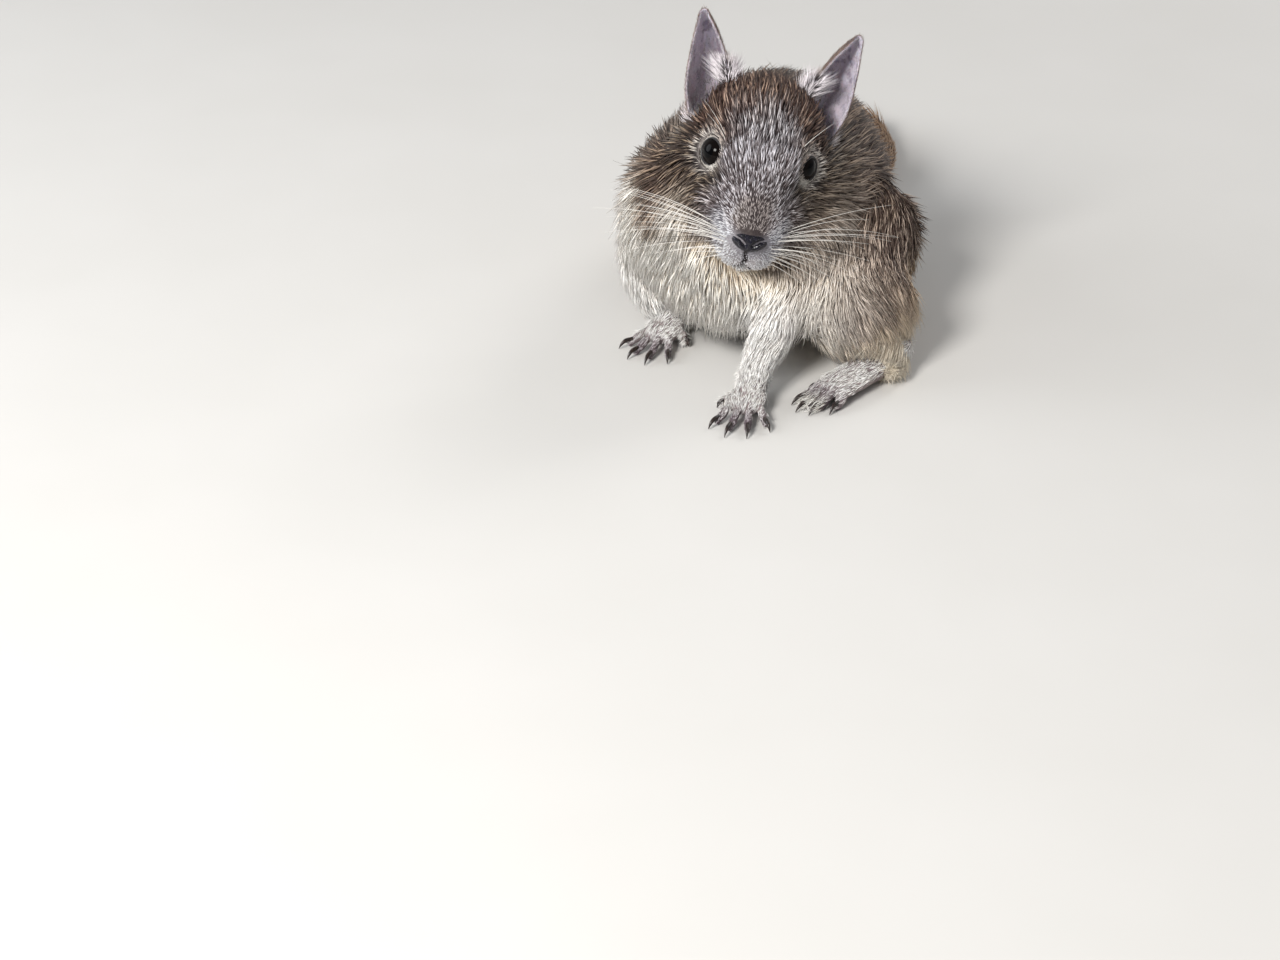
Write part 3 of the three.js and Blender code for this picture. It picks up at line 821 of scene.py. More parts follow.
def markings(points, normals, part):
    # The coat's colour, and how strongly its hairs are banded dark and pale
    body = points - bodyShift
    head = toHead(points)
    x, y, z = head.T
    ax = np.abs(x)
    wave = ripple(points, 5, 1)
    ring = np.zeros(len(points))
    for side in sideWords:
        off, above, inner, before = aroundEye(head, side)
        lean = np.clip(0.12 + 1.0 * np.maximum(-above / off, 0) + 0.45 * np.maximum(-inner / off, 0)
                       + 0.25 * np.maximum(above / off, 0), 0, 1)
        ring = np.maximum(ring, (before > -1.5) * np.minimum(1.3 * lean, 1) * bell(off - 4.5, 1.3))
        toSpot = np.linalg.norm(head - np.array(earSpot) * (side, 1, 1), axis=1)
        ring = np.maximum(ring, bell(toSpot, 3.6))
    face = layered("crown", [
        (0.9 * smooth(12, 4, ax + wave) * smooth(9, -2, y + 1.4 * wave), "forehead"),
        (smooth(-1, -6, y + 0.5 * wave), "bridge"),
        (smooth(5.5, 2.5, ax) * smooth(-13, -16, y) * smooth(-10.5, -7, z), "pad"),
        (smooth(6.5, 10, ax + 0.7 * wave) * smooth(-11, -5, y) * smooth(2, -4, z)
         * smooth(-16, -11.5, z + wave), "cheek"),
        (smooth(-11, -15, y) * smooth(-7.5, -11, z - 0.35 * ax), "muzzle"),
        (smooth(-13, -16.5, z + 0.7 * wave) * smooth(-13, -9, y), "side"),
        (smooth(-16, -19, z + 0.5 * wave) * (y > -17), "throat"),
        (smooth(13, 19, y + wave) * smooth(-4, -11, z), "side"),
        (ring, "ring")])
    faceBand = (0.93 - 0.22 * smooth(12, 4, ax) * smooth(9, -2, y) - 0.5 * smooth(-14, -17, z)
                - 0.35 * smooth(-13, -17, y)) * (1 - 0.9 * ring)
    up = np.maximum(normals[:, 2], 0)
    height = body[:, 2] + 2.5 * wave
    ahead = -normals[:, 1] / np.maximum(np.hypot(normals[:, 0], normals[:, 1]), 0.2) + 0.06 * wave
    ahead += 0.32 * smooth(5, -20, body[:, 0])
    paleTo = 10 + 20 * smooth(0.45, 0.8, ahead) + 14 * smooth(0.7, 0.95, ahead)
    low = smooth(9, -9, height - paleTo + 2 * wave)
    trunk = layered("flank", [(smooth(34, 50, height + 10 * up), "back"), (low, "chest")])
    total = part["head"][:, None] * face + part["trunk"][:, None] * trunk
    band = part["head"] * faceBand + part["trunk"] * (0.93 - 0.5 * low)
    for name in legs:
        t = downLeg(body, name)
        if name.startswith("fore"):
            leg = layered("chest", [(smooth(0.15, 0.5, t), "leg")])
            legBand = 0.15
        else:
            leg = layered("thigh", [(smooth(0.6, 0.9, t), "shank"), (smooth(12, 25, height), "flank"),
                                    (smooth(34, 48, height + 6 * up), "back")])
            legBand = 0.22 + 0.7 * smooth(12, 27, height)
        total += part[name][:, None] * leg
        band += part[name] * legBand
    t = nearCurve(body, tailCurve)[1]
    total += part["tail"][:, None] * layered("tail", [(smooth(0.6, 0.78, t + 0.02 * wave), "brush")])
    band += part["tail"] * 0.5 * smooth(0.6, 0.3, t)
    total *= (1 + 0.07 * ripple(points, 3, 4))[:, None]
    return total[:, :3], total[:, 3:], np.clip(band, 0, 1)


def lieOf(points, normals, edges, part):
    # The direction in which the coat lies: back from the nose, back and down the body, down the legs
    body = points - bodyShift
    head = toHead(points)
    fromNose = unit(head - noseTip)
    fromNose[:, 2] -= 0.35 * smooth(8, 14, np.abs(head[:, 0]))
    front = smooth(-0.1, -0.8, normals[:, 1])
    side = 1 - np.abs(normals[:, 2])
    trunk = np.stack([0.5 * normals[:, 0] * front - 0.12, 1 - 0.9 * front, -0.5 * side - 0.8 * front], 1)
    total = part["head"][:, None] * (fromNose @ headTurn.T) + part["trunk"][:, None] * unit(trunk)
    for name, curve in {**legCurves, "tail": tailCurve}.items():
        t = nearCurve(body, curve)[1]
        down = unit(np.gradient(curve, axis=0))[(t * (len(curve) - 1)).round().astype(int)]
        total += part[name][:, None] * down
    total += 0.16 * np.stack([ripple(points, 6, k) for k in (21, 22, 23)], 1)
    return withinSurface(relaxed(unit(total), edges, 20), normals)


def coatMarks(mesh):
    points, normals = pointsOf(mesh), normalsOf(mesh)
    far = regions(points)
    part = shares(far)
    body = points - bodyShift
    head = toHead(points)
    ax, y = np.abs(head[:, 0]), head[:, 1]
    tone, tip, band = markings(points, normals, shares(far, 5))
    # Length, density, width and lift of each part's tufts
    measures = {
        "head": (np.interp(y, [-22, -15, -8, 0, 12, 20], [1.0, 2.1, 4.0, 5.6, 6.4, 7.0])
                 + 1.4 * smooth(10, 18, ax) + 1.6 * smooth(-16, -21, head[:, 2]) * smooth(-15, -6, y),
                 np.interp(y, [-20, -12, -4, 8], [9, 5.2, 3.3, 3.0]),
                 np.interp(y, [-20, -12, -4, 8], [0.17, 0.27, 0.33, 0.38]), 0.12 + 0.14 * smooth(-4, 15, y)),
        "trunk": (10.4 + 0.8 * ripple(points, 12, 9), 3.4, 0.45, 0.32)}
    for name in legs:
        t = downLeg(body, name)
        measures[name] = (np.interp(t, [0, 0.35, 0.75, 1], legCoat[name[:4]]["length"]),
                          np.interp(t, [0, 0.5, 1], [3.4, 4.4, 6]),
                          np.interp(t, [0, 0.5, 1], [0.44, 0.36, 0.25]),
                          np.interp(t, [0, 0.5, 1], [0.26, 0.2, 0.16]))
    bushy = smooth(0.5, 0.68, nearCurve(body, tailCurve)[1])
    measures["tail"] = (3.4 + 11.5 * bushy, 5.5 - 1.5 * bushy, 0.22 + 0.14 * bushy, 0.3 + 0.12 * bushy)
    length, density, width, lift = [sum(part[name] * row[i] for name, row in measures.items())
                                    for i in range(4)]
    skinTone = tone
    for side in sideWords:
        off, _, _, before = aroundEye(head, side)
        front = before > -2
        length *= 1 - 0.62 * front * smooth(9, 4.6, off)
        width *= 1 - 0.35 * front * smooth(7, 4.6, off)
        density *= 1 - front * smooth(4.3, 3.8, off)
        skinTone = blend(skinTone, front * smooth(5.0, 4.2, off), linear(*lidEdge) * 2)
    toMouth, _ = nearCurve(head, onSkin(mouthLine, head))
    toCleft, _ = nearCurve(head, onSkin(cleftLine, head))
    density *= smooth(0.55, 1.2, toMouth) * smooth(0.25, 0.6, toCleft)
    # Painted shade: the bare skin in the mouth slit and the cleft is coloured dark
    skinTone = blend(skinTone, np.maximum(smooth(1.2, 0.7, toMouth), smooth(0.9, 0.4, toCleft)), linear(*mouthShade))
    length *= 1 - 0.62 * smooth(3, 1, np.minimum(toMouth, toCleft))
    toPad = np.linalg.norm((head - np.array(noseShape["bareAt"])) / np.array(noseShape["bareSize"]), axis=1)
    density *= smooth(0.95, 1.1, toPad)
    density *= smooth(0.3, 1.6, points[:, 2])  # none where the body rests on the floor
    lie = lieOf(points, normals, edgesOf(mesh), part)
    order = np.where(part["head"] > 0.5, y - 200, body[:, 1])  # the head's pieces come first
    return hairMarks(density, length, width, lift, lie, tone, tip, band), order, skinTone


# Finishes

def coatFinish():
    it = Finish("coatFur")
    share, tone, band = it.mark("share"), it.mark("tone"), it.mark("furBand")
    middle, tip = it.mark("furColour", "Vector"), it.mark("furTip", "Vector")
    patchy = it.noise(3.0, 2.0)
    few = band * 1.2 - 0.5  # the more banded the coat, the fewer its pale tufts
    pale = 1 - band * (1 - tone.ramp(few, few + 0.16))
    depth = it.mix(band.ramp(0.2, 0.75), (0.73, 0.7, 0.68, 1), (0.26, 0.23, 0.25, 1))
    root = middle.vector("MULTIPLY", depth)
    shaft = it.mix(pale, middle.vector("MULTIPLY", (0.6, 0.56, 0.56)), middle)
    whole = it.mix(share.ramp(0.03, 0.35), root, shaft)
    whole = it.mix(share.ramp(0.15, 0.6) * pale, whole, tip)
    whole = it.mix(share.ramp(0.6, 0.95) * (1 - tone.ramp(0.1, 0.24)) * band, whole, root)
    whole = it.mix(patchy.ramp(0.42, 0.7) * 0.3, whole, whole.vector("MULTIPLY", (0.7, 0.66, 0.64)))
    return it.done(base=whole, roughness=0.5, specular=0.35)


def skinFinish():
    it = Finish("skinUnderCoat")
    base = it.mark("furColour", "Vector")
    grain = it.noise(0.5, 4.0)
    fine = it.noise(0.16, 2.0)
    depth = it.mix(it.mark("furBand").ramp(0.2, 0.75), (0.72, 0.69, 0.68, 1), (0.3, 0.28, 0.29, 1))
    whole = base.vector("MULTIPLY", depth)
    whole = it.mix(grain.ramp(0.35, 0.7), whole.vector("MULTIPLY", (0.6, 0.58, 0.58)), whole)
    return it.done(base=whole, roughness=0.65, specular=0.3, normal=it.bump(fine + grain, 0.12))


# The pieces: skin and coat

print("skin")
skinMesh = makeSkin()
marks, order, skinTone = coatMarks(skinMesh)
setMark(skinMesh, "furColour", skinTone)
setMark(skinMesh, "furBand", marks["furBand"])
skinMesh.materials.clear()
skinMesh.materials.append(skinFinish())
skin = pieceOf("skin", skinMesh)
print("skin", len(skinMesh.polygons), "faces")
furFinish = coatFinish()
coat = growInParts("coat", skinMesh, marks, order, boxMiddle("torso"), np.array((0.0, 1.0, 0.0)), bend=0.2,
                   finish=furFinish)


# Eyes, lids, nose

lidProfile = [(0, -0.25), (-1.4, 0.04), (-0.6, 0.28), (3, 0.46), (9, 0.55), (17, 0.5), (28, 0.25), (36, -0.5),
              (14, -0.5)]  # angle past the opening, and height over the globe
lidSteps = 72


def makeEye(side):
    look = lookOf(side)
    name = "eyeball_" + sideWords[side]
    turn = np.stack([*squareTo(look), look], 1)
    verts, faces = ball(eyeAt(side), (eye["radius"],) * 3, 32, 48, turn)
    mesh = tidied(meshOf(name, fromHead(verts), faces))
    it = Finish("eye_" + sideWords[side])
    rel = it.place.vector("SUBTRACT", tuple(fromHead(eyeAt(side)) * mm))
    off = rel.vector("DOT_PRODUCT", tuple(headTurn @ look), out=1) / (eye["radius"] * mm)
    iris = it.mix(off.ramp(0.9, 0.93), colour(12, 8, 7), colour(3, 3, 4))
    iris = it.mix(off.ramp(0.62, 0.7), colour(6, 5, 6), iris)
    mesh.materials.append(it.done(base=iris, roughness=0.05, specular=0.16, ior=1.36))
    return pieceOf(name, mesh)


def lidForm(side):
    # A band round the globe, thickest at the opening and running out under the skin
    look = lookOf(side)
    across, up = squareTo(look)
    inwards = np.array((0, -1, -0.5))
    toNose = unit(inwards - look * (inwards @ look))
    noseAngle = math.atan2(toNose @ up, toNose @ across)
    verts, faces = [], []
    for a in np.linspace(0, 2 * math.pi, lidSteps, endpoint=False):
        corner = math.cos(a - noseAngle)
        wider = 1 + 0.15 * max(corner, 0) ** 8 - 0.05 * math.sin(a) ** 2 + 0.06 * max(-corner, 0) ** 6
        reach = eye["opening"][side] * (wider - 0.08 * (side > 0) * max(math.sin(a), 0))
        out = math.cos(a) * across + math.sin(a) * up
        for add, height in lidProfile:
            angle = math.radians(reach + add)
            to = math.cos(angle) * look + math.sin(angle) * out
            verts.append(eyeAt(side) + to * (eye["radius"] + height))
    around = len(lidProfile)
    for i in range(lidSteps):
        here, there = i * around, (i + 1) % lidSteps * around
        for j in range(around):
            after = (j + 1) % around
            faces.append((here + j, there + j, there + after, here + after))
    return fromHead(np.array(verts)), faces


def makeLids():
    mesh = tidied(meshOf("eyelids", *joined([lidForm(side) for side in sideWords])))
    points, normals = pointsOf(mesh), normalsOf(mesh)
    head = toHead(points)
    tone, tip, band = markings(points, normals, shares(regions(points)))
    edge, outside = np.zeros(len(points)), np.zeros(len(points))
    for side in sideWords:
        rel = head - eyeAt(side)
        far = np.linalg.norm(rel, axis=1)
        here = head[:, 0] * side > 0
        angle = np.degrees(np.arccos(np.clip(rel @ lookOf(side) / far, -1, 1)))
        edge = np.where(here, (angle - eye["opening"][side]) / 14, edge)
        outside = np.where(here, far > eye["radius"] + 0.15, outside)
    setMark(mesh, "edge", np.clip(edge, 0, 1))
    setMark(mesh, "furColour", tone)
    lie = withinSurface(unit(head - noseTip) @ headTurn.T, normals)
    hair = hairMarks(12 * outside * smooth(0.08, 0.3, edge), 0.8 + 0.6 * smooth(0.3, 1, edge), 0.16, 0.24,
                     lie, tone, tip, band)
    lidHair = growInParts("lidHair", mesh, hair, edge, points.mean(0), headTurn[:, 2], bend=0.15,
                          finish=furFinish)
    it = Finish("lidSkin")
    around = it.mark("furColour", "Vector").vector("MULTIPLY", (0.95,) * 3)
    base = it.mix(it.mark("edge").ramp(0.1, 0.34), colour(*lidEdge), around)
    folds = it.bump(it.noise(0.4), 0.05)
    mesh.materials.append(it.done(base=base, roughness=0.42, specular=0.4, normal=folds))
    return pieceOf("eyelids", mesh), lidHair


def makeNose():
    verts, faces = ball((0, 0, 0), (1, 1, 1), 72, 96)
    size = np.array(noseShape["size"])
    p = verts * size
    p[:, 0] *= 1 - 0.16 * smooth(0.2, -2.4, p[:, 2])  # narrower below
    p[:, 1] *= 1 + 0.1 * np.abs(verts[:, 0])
    p = p + np.array(noseShape["at"])
    n = unit(verts / size)
    for side in sideWords:
        d, t = nearCurve(p, along(np.array(nostrilLine) * (side, 1, 1), 24))
        wide = np.interp(t, [0, 0.35, 0.7, 1], [0.55, 0.62, 0.42, 0.25])
        p = p - n * (1.15 * np.interp(t, [0, 0.4, 1], [1, 1, 0.5]) * bell(d, wide))[:, None]
        wing = np.linalg.norm(p - np.array((side * 2.6, -22.2, -7.6)), axis=1)
        p = p + n * (0.3 * bell(wing, 0.9))[:, None]
    split = np.abs(p[:, 0]) + 3 * smooth(-10, -9.2, p[:, 2])
    p = p - n * (0.32 * bell(split, 0.26))[:, None]
    mesh = tidied(meshOf("nosePad", fromHead(p), faces))
    it = Finish("nosePad")
    base = it.mix(it.noise(0.9).ramp(0.3, 0.7), colour(9, 8, 15), colour(25, 22, 37))
    pebbles = it.bump(it.cells(0.33).ramp(0, 0.12), 0.05)
    mesh.materials.append(it.done(base=base, roughness=0.13, specular=0.42, normal=pebbles))
    return pieceOf("nosePad", mesh)


print("eyes and nose")
eyes = {word: makeEye(side) for side, word in sideWords.items()}
lids, lidHair = makeLids()
nose = makeNose()


# Ears

earRails = {
    "inner": [(8.6, 20, 4), (11.4, 20.4, 13), (14.8, 21.4, 19.8), (18.4, 23.2, 24.4)],
    "back": [(13, 25, -3), (16.2, 28.6, 8), (18.2, 27.8, 17.5), (20, 25, 24.6)],
    "outer": [(16, 15.5, -9), (20.8, 17, 3.5), (21.6, 19.8, 14), (21.2, 23.4, 23.8)],
}
earShape = {"rows": 60, "columns": 40, "thickness": 0.75, "rim": 0.5}


def makeEar(side):
    rows, columns = earShape["rows"], earShape["columns"]
    rails = [along(earRails[k], rows + 1) for k in ("inner", "back", "outer")]
    s = np.linspace(0, 1, columns + 1)[None, :, None]
    t = np.linspace(0, 1, rows + 1)[:, None, None]
    sheet = (rails[0][:, None] * (1 - s) * (1 - 2 * s) + rails[1][:, None] * 4 * s * (1 - s)
             + rails[2][:, None] * s * (2 * s - 1))
    across = np.gradient(sheet, axis=1)
    up = np.gradient(sheet, axis=0)
    n = unit(np.cross(across, up))
    if (n[rows // 2, columns // 2] @ np.array((0, -1, 0))) < 0:
        n = -n  # the hollow side faces forwards
    hollow = np.sin(math.pi * s) ** 0.5
    ridge = 0.22 * np.sin(s * 26 + 2.2 * t) * smooth(0.0, 0.25, t) * smooth(0.85, 0.4, t) * hollow
    roll = earShape["rim"] * bell(s, 0.05) + 0.3 * bell(1 - s, 0.05)
    bulge = 0.45 + 0.55 * np.sin(math.pi * np.clip(s, 0.02, 0.98)) ** 0.4
    thick = earShape["thickness"] * bulge * (1 - 0.35 * t)
    faceIn = sheet + n * (thick / 2 + ridge + roll)
    faceOut = sheet - n * (thick / 2) + n * roll * 0.6
    grid = np.arange((rows + 1) * (columns + 1)).reshape(rows + 1, columns + 1)
    count = grid.size
    front = np.stack([grid[:-1, :-1], grid[:-1, 1:], grid[1:, 1:], grid[1:, :-1]], -1).reshape(-1, 4)
    faces = front.tolist() + (front[:, ::-1] + count).tolist()
    rim = list(grid[0, :-1]) + list(grid[:-1, -1]) + list(grid[-1, :0:-1]) + list(grid[:0:-1, 0])
    faces += [(b, a, a + count, b + count) for a, b in zip(rim, rim[1:] + rim[:1])]
    flip = (side, 1, 1)
    verts = np.vstack([faceIn.reshape(-1, 3), faceOut.reshape(-1, 3)]) * flip
    if side < 0:
        faces = [tuple(reversed(f)) for f in faces]
    mesh = reworked(meshOf("earShell_" + sideWords[side], fromHead(verts), faces), facesOut)
    marks = {"inside": np.repeat([1.0, 0.0], count)}
    for key, values in {"across": s, "height": t}.items():
        marks[key] = np.tile(np.broadcast_to(values, sheet.shape[:2] + (1,)).reshape(-1), 2)
    for key, values in marks.items():
        setMark(mesh, key, values)
    lie, outwards = [np.tile(unit(v).reshape(-1, 3), (2, 1)) * flip @ headTurn.T for v in (up, across)]
    return mesh, marks, lie, outwards


def earFinish():
    it = Finish("earSkin")
    inside, height, across = it.mark("inside"), it.mark("height"), it.mark("across")
    blotch = it.noise(3.2)
    fine = it.noise(0.35)
    inner = it.mix(blotch.ramp(0.5, 0.68), colour(206, 200, 214), colour(148, 138, 156))
    inner = it.mix(height.ramp(0.75, 0.1) * 0.55, inner, colour(214, 200, 210))
    edgeShade = across.ramp(0.42, 0.16) * across.ramp(0.03, 0.1) * height.ramp(0.2, 0.4)
    inner = it.mix(edgeShade * 0.75, inner, colour(104, 88, 104))
    outer = it.mix(blotch.ramp(0.4, 0.65), colour(132, 114, 110), colour(92, 78, 76))
    whole = it.mix(inside, outer, inner)
    return it.done(base=whole, roughness=0.55, specular=0.35, subsurface=0.15, subsurfaceScale=0.0012,
                   normal=it.bump(fine + blotch, 0.12))


def growEarHair(side, mesh, marks, lie, outwards):
    inside, height, across = marks["inside"], marks["height"], marks["across"]
    behind = 1 - inside
    fringe = bell(across, 0.07) * smooth(0.52, 0.28, height)
    notch = smooth(0.8, 0.95, across) * smooth(0.2, 0.06, height)
    fan = inside * smooth(0.45, 0.2, across) * smooth(0.42, 0.24, height) * smooth(0.03, 0.1, height)
    root = smooth(0.36, 0.08, height)
    rim = np.maximum(smooth(0.06, 0.02, across), smooth(0.94, 0.98, across))
    pale, dusk = linear(232, 228, 228), linear(118, 98, 84)
    light = inside + fringe + notch
    hair = hairMarks(2.2 + 2.6 * fringe + 0.5 * fan + 9 * notch + 3 * root * behind + 2.5 * behind + 3 * rim,
                     1.2 + 4.8 * fringe + 3.2 * fan + 2.6 * notch + 2.6 * root * behind,
                     0.1 + 0.09 * fringe + 0.09 * fan + 0.12 * notch + 0.06 * root,
                     0.28 + 0.4 * fringe + 0.25 * fan,
                     unit(lie + (fan * (1 - fringe))[:, None] * outwards * 0.9),
                     blend(dusk, light, pale * 0.42), blend(dusk * 1.6, light, linear(240, 234, 238)),
                     0.3 + 0.3 * behind * (1 - fringe))
    return growInParts("earHair_" + sideWords[side], mesh, hair, height, pointsOf(mesh).mean(0),
                       headTurn[:, 2], bend=0.15, finish=furFinish, scatter=0.3)


earSkin = earFinish()
ears, earCoats = {}, []
print("ears")
for side, word in sideWords.items():
    earMesh, *earDetails = makeEar(side)
    earCoats += growEarHair(side, earMesh, *earDetails)
    earMesh.materials.append(earSkin)
    ears[word] = pieceOf("earShell_" + word, earMesh)


# Feet and claws

footShape = {"voxel": 0.36, "toe": {"fore": 1.25, "hind": 1.45}, "knuckle": {"fore": 2.9, "hind": 3.1},
             "middle": {"fore": 8, "hind": 15}, "toesFrom": {"fore": 8, "hind": 20},
             "toesTo": {"fore": 16, "hind": 29}}


def footForms(name):
    # A foot's flesh and its claws, in the foot's own frame
    sign = -feet[name]["thumb"]
    kind = name[:4]
    claws = []
    if kind == "fore":
        flesh = [ball((0, -5.5, 3.2), (4.7, 6.3, 3.1)),
                 loft([(0, 2.2, 8.5), (0, 0.8, 5.6), (0, -5.5, 3.5)], [3.3, 3.7, 3.5], sides=16)]
    else:
        flesh = [loft([(0, 1, 3.9), (0, -9, 3.8), (0, -17, 3.3), (0, -24, 2.4)], [3.2, 3.7, 4.9, 4.6],
                      [3.7, 3.8, 3.3, 2.2], steps=20, sides=20),
                 loft([(0, 1.5, 9), (0, 0, 5.6), (0, -7, 3.9)], [3.6, 3.9, 3.5], sides=16)]
    thick, knuckle = footShape["toe"][kind], footShape["knuckle"][kind]
    for (rx, ry), splay, reach, claw in (foreDigits if kind == "fore" else hindDigits):
        heading = math.radians(sign * splay)
        ahead = np.array((math.sin(heading), -math.cos(heading), 0))
        root = np.array((sign * rx, ry, 0.0))

        def at(distance, height):
            return tuple(root + ahead * distance + np.array((0, 0, height)))
        flesh.append(loft([at(-3, knuckle * 0.85), at(reach * 0.22, knuckle), at(reach * 0.62, 1.75),
                           at(reach, 1.25)],
                          [thick * 1.05, thick * 1.04, thick * 0.8, thick * 0.9, thick * 0.55],
                          [thick, thick, thick * 0.82, thick * 0.95, thick * 0.6], steps=18, sides=14))
        flesh.append(ball(at(reach * 0.9, 0.95), (thick * 0.75, thick * 0.95, 0.9)))  # toe pad
        claws.append(loft([at(reach - 1.2, 1.9), at(reach + claw * 0.35, 2.0), at(reach + claw * 0.75, 1.25),
                           at(reach + claw, 0.25)],
                          [0.6, 0.55, 0.4, 0.06], [0.75, 0.7, 0.45, 0.06], steps=14, sides=10))
    return [[(fromFoot(name, v) + bodyShift, f) for v, f in forms] for forms in (flesh, claws)]


def byFoot(key):
    # A measure of the four feet, in their order
    return np.array([footShape[key][name[:4]] for name in feet])


print("feet")
flesh, nails = [], []
for name in feet:
    footFlesh, footNails = footForms(name)
    flesh += footFlesh
    nails += footNails
footMesh = remeshed("feetSkin", [tidied(meshOf("form", *form)) for form in flesh], footShape["voxel"])
footPoints = relaxed(pointsOf(footMesh), edgesOf(footMesh), 7)
footPoints[:, 2] = np.maximum(footPoints[:, 2], 0.02)
setPoints(footMesh, footPoints)
footNormals = normalsOf(footMesh)
footPlaces = np.array([foot["at"] for foot in feet.values()])
footWays = np.array([np.array(turnAbout(foot["heading"], "Z")) @ np.array((0, -1, 0))
                     for foot in feet.values()])
inBody = footPoints - bodyShift
footMiddles = footPlaces + footWays * byFoot("middle")[:, None]
which = np.argmin([np.linalg.norm(inBody - at, axis=1) for at in footMiddles], 0)
ahead = footWays[which]
run = np.sum((inBody - footPlaces[which]) * ahead, 1)
hind = np.array([name[0] == "h" for name in feet])[which]
toeShare = smooth(byFoot("toesFrom")[which], byFoot("toesTo")[which], run)
top = smooth(-0.25, 0.35, footNormals[:, 2])
ankle = smooth(6, 1, run)
bristle = hind * smooth(25, 28.5, run)
footTone = layered("leg", [(toeShare, "toe"), (bristle, "bristle")])
footFur = hairMarks((6.2 - 2.6 * toeShare + 3 * bristle) * np.maximum(top, ankle),
                    2.5 - 1.2 * toeShare + 0.9 * ankle + 2.4 * bristle,
                    0.18 - 0.04 * toeShare, 0.15 + 0.2 * bristle,
                    withinSurface(ahead, footNormals), footTone[:, :3], footTone[:, 3:], 0.2)
setMark(footMesh, "toe", toeShare)
it = Finish("footSkin")
mottle = it.noise(1.6)
footBase = it.mix(mottle.ramp(0.35, 0.65), colour(172, 158, 156), colour(138, 124, 126))
footBase = it.mix(it.mark("toe") * 0.8, footBase, colour(78, 66, 74))
wrinkles = it.bump(it.cells(0.55).ramp(0, 0.1) + mottle, 0.1)
footMesh.materials.clear()
footMesh.materials.append(it.done(base=footBase, roughness=0.55, specular=0.35, normal=wrinkles))
feetSkin = pieceOf("feetSkin", footMesh)
footCoat = growInParts("footHair", footMesh, footFur, run, footPoints.mean(0), np.array((0.0, 0.0, 1.0)),
                       bend=0.12, finish=furFinish, scatter=0.2)
it = Finish("clawHorn")
grain = it.noise(0.8, 4.0)
clawBase = it.mix(grain.ramp(0.3, 0.72), colour(20, 16, 16), colour(58, 46, 42))
clawMesh = tidied(meshOf("claws", *joined(nails)))
clawMesh.materials.append(it.done(base=clawBase, roughness=0.28, specular=0.5, normal=it.bump(grain, 0.03)))
claws = pieceOf("claws", clawMesh)


# Whiskers, as curves given their thickness by Geometry Nodes

whiskerShape = {"rows": 6, "inRow": 5, "shortest": 12, "longest": 32, "root": 0.09, "tip": 0.02, "steps": 14}


def whiskerLines():
    skinInHead = toHead(pointsOf(skin.data))
    skinInHead = skinInHead[(skinInHead[:, 1] < -6) & (skinInHead[:, 1] > -26)]
    widest = cadBox[1][0] / mm + coatLimit["reach"]
    steps = np.linspace(0, 1, whiskerShape["steps"])[:, None]
    draw = np.random.default_rng(5)
    lines = []
    for side in sideWords:
        for row in range(whiskerShape["rows"]):
            for place in range(whiskerShape["inRow"]):
                back = place / (whiskerShape["inRow"] - 1)
                low = row / (whiskerShape["rows"] - 1)
                start = (side * (5.4 + 4.2 * back), -19.6 + 6.6 * back + 0.6 * low, -10.6 - 5.6 * low)
                root = onSkin(np.tile(start, (3, 1)), skinInHead)[1]
                length = np.interp(back, [0, 1], [whiskerShape["shortest"], whiskerShape["longest"]])
                length *= draw.uniform(0.85, 1.1)
                aim = unit(np.array((side * 1.0, 0.05 + 0.42 * back + draw.uniform(-0.12, 0.12),
                                     0.3 - 0.62 * low + draw.uniform(-0.1, 0.1))))
                sag = np.array((0, 0.12, -1.0)) * length * draw.uniform(0.16, 0.34)
                for _ in range(12):
                    line = fromHead(root - aim * 0.8 + aim * length * steps + sag * steps**2)
                    if np.abs(line[:, 0]).max() < widest:
                        break
                    length, sag = length * 0.95, sag * 0.95
                lines.append(line)
        for up in range(2):  # over the eye
            root = eyeAt(side) + np.array((-side * 1.2, -2.6 + up * 1.4, 5.4))
            aim = unit(np.array((side * 0.5, 0.2, 0.9)))
            sag = np.array((side * 2.4, 1.5, -1.0))
            lines.append(fromHead(root + aim * (8 + 3 * up) * steps + sag * steps**2))
    return lines


def whiskerTree():
    tree, keys, value = nodeGroup("whiskers", {"Geometry": "Geometry", "Root": "Float", "Tip": "Float",
                                               "Finish": "Material"})
    share = tree.add("GeometryNodeInputNamedAttribute", {"data_type": "FLOAT"}, {"Name": "share"})
    curve = tree.add("GeometryNodeMeshToCurve", {}, {"Mesh": value["Geometry"]})
    thickness = value["Root"] + (value["Tip"] - value["Root"]) * share
    curve = tree.add("GeometryNodeSetCurveRadius", {}, {"Curve": curve, "Radius": thickness})
    circle = tree.add("GeometryNodeCurvePrimitiveCircle", {"mode": "RADIUS"},
                      {"Resolution": 6, "Radius": 1.0})
    tube = tree.add("GeometryNodeCurveToMesh", {},
                    {"Curve": curve, "Profile Curve": circle, "Fill Caps": True})
    if "Scale" in tube.socket.node.inputs:
        tree.nodeTree.links.new(thickness.socket, tube.socket.node.inputs["Scale"])
    ended(tree, tree.add("GeometryNodeRealizeInstances", {}, {"Geometry": tube}), value["Finish"])
    return tree.nodeTree, keys


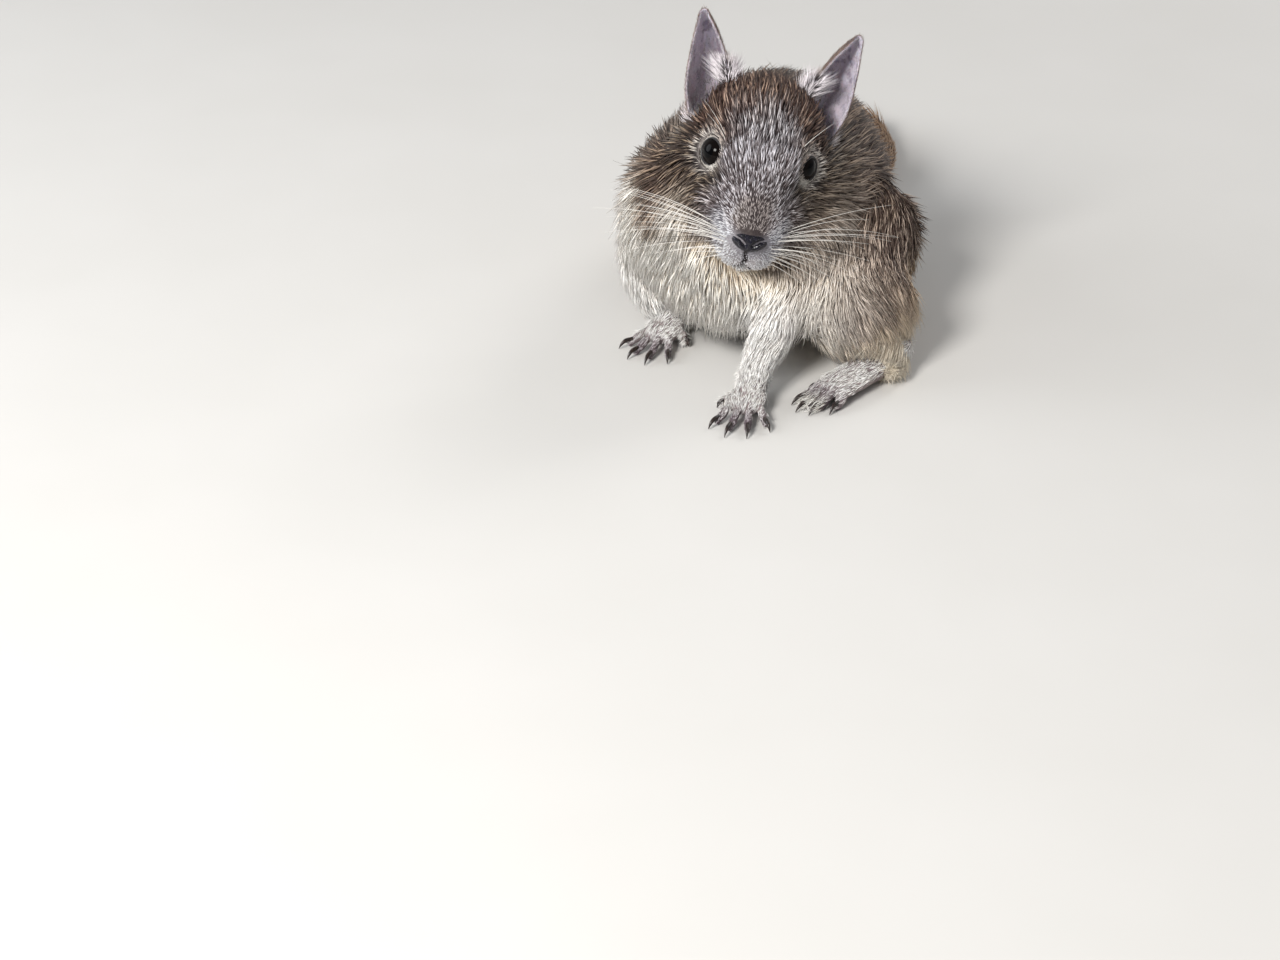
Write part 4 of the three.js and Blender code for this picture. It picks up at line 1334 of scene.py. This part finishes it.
def makeWhiskers():
    lines = whiskerLines()
    steps = whiskerShape["steps"]
    edges = [(i * steps + j, i * steps + j + 1) for i in range(len(lines)) for j in range(steps - 1)]
    mesh = bpy.data.meshes.new("whiskers")
    mesh.from_pydata((np.vstack(lines) * mm).tolist(), edges, [])
    setMark(mesh, "share", np.tile(np.linspace(0, 1, steps), len(lines)))
    setMark(mesh, "tone", np.repeat((np.arange(len(lines)) % 6 == 0) * 1.0, steps))
    it = Finish("whiskerHair")
    base = it.mix(it.mark("tone"), colour(232, 228, 222), colour(60, 50, 46))
    base = it.mix((1 - it.mark("share").ramp(0.0, 0.12)) * 0.5, base, colour(90, 80, 80))
    finish = it.done(base=base, roughness=0.35, specular=0.5)
    made = grown("whiskers", mesh, *whiskerTree(), {
        "Root": whiskerShape["root"] * mm, "Tip": whiskerShape["tip"] * mm, "Finish": finish})
    made.shade_smooth()
    print("whiskers", len(made.polygons), "faces")
    return pieceOf("whiskers", made)


whiskers = makeWhiskers()


# Everything rides on the one body

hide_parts(*fleshNodes, "tail_brush")
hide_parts(*feet)
for word in ("left", "right"):
    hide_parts("eye_" + word)
    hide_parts("ear_" + word)
slots = {"coat": [skin, *coat, whiskers, *footCoat, *earCoats, *lidHair], "ear": [*ears.values(), nose, lids],
         "foot": [feetSkin, claws], "eye": list(eyes.values())}
for slot, pieces in slots.items():
    for piece in pieces:
        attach(piece, "root")

# Floor, light and camera

studio = {"floor": 1.6, "world": 0.32, "lit": (0.01, -0.05, 0.035)}
lights = {
    "key": {"at": (-0.08, -0.8, 0.6), "size": 0.3, "power": 9.6, "tint": (1, 0.98, 0.95)},
    "fill": {"at": (-0.7, -0.35, 0.4), "size": 0.6, "power": 3.2, "tint": (0.93, 0.96, 1)},
    "rim": {"at": (0.25, 0.7, 0.6), "size": 0.45, "power": 3.0, "tint": (1, 0.98, 0.96)},
}
view = {"nose": (17.0, 6.3, 42.6), "pixel": (748, 241), "azimuth": 25, "elevation": 25, "distance": 750,
        "focal": 3000, "frame": (1280, 960), "sensor": 36}

half = studio["floor"] / 2 / mm
corners = [(-half, -half, 0), (half, -half, 0), (half, half, 0), (-half, half, 0)]
floor = pieceOf("floor", meshOf("floor", corners, [(0, 1, 2, 3)]))
it = Finish("paleFloor")
floorBase = it.mix(it.noise(60, 2.0), colour(206, 204, 200), colour(212, 210, 207))
floor.data.materials.append(it.done(base=floorBase, roughness=0.75, specular=0.2))

world = bpy.data.worlds.new("studio")
world.use_nodes = True
world.node_tree.nodes["Background"].inputs["Color"].default_value = (0.93, 0.96, 1.0, 1)
world.node_tree.nodes["Background"].inputs["Strength"].default_value = studio["world"]
bpy.context.scene.world = world
bpy.context.scene.view_settings.view_transform = "Standard"

for name, light in lights.items():
    lamp = bpy.data.lights.new(name, "AREA")
    lamp.size, lamp.energy, lamp.color = light["size"], light["power"], light["tint"]
    lamp.shape = "DISK"
    holder = bpy.data.objects.new(name, lamp)
    holder.location = light["at"]
    holder.rotation_euler = (Vector(studio["lit"]) - Vector(light["at"])).to_track_quat("-Z", "Y").to_euler()
    bpy.context.scene.collection.objects.link(holder)

# The camera stands so that the nose falls on its place in the picture, with no roll
azimuth, elevation = math.radians(view["azimuth"]), math.radians(view["elevation"])
level = math.cos(elevation)
back = np.array([math.sin(azimuth) * level, -math.cos(azimuth) * level, math.sin(elevation)])
place = np.array(view["nose"]) + view["distance"] * back
toRight = (view["pixel"][0] - view["frame"][0] / 2) / view["focal"]
toUp = -(view["pixel"][1] - view["frame"][1] / 2) / view["focal"]
ray = np.array([toRight, toUp, 1]) / math.sqrt(toRight**2 + toUp**2 + 1)
pitch = math.acos(-back[2] / math.hypot(ray[1], ray[2])) - math.atan2(ray[2], ray[1])
onward = ray[1] * math.sin(pitch) + ray[2] * math.cos(pitch)
heading = math.atan2(-back[1], -back[0]) + math.atan2(ray[0], onward)
lens = bpy.data.cameras.new("camera")
lens.sensor_width = view["sensor"]
lens.lens = view["focal"] * view["sensor"] / view["frame"][0]
lens.clip_start, lens.clip_end = 0.01, 20
camera = bpy.data.objects.new("camera", lens)
camera.location = (place + bodyShift) * mm
camera.rotation_euler = (math.pi / 2 - pitch, 0, heading - math.pi / 2)
bpy.context.scene.collection.objects.link(camera)
bpy.context.scene.camera = camera

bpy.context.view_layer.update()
shown = [piece for piece in bpy.context.scene.objects if piece.type == "MESH" and not piece.hide_render]
print("faces in all", sum(len(piece.data.polygons) for piece in shown))
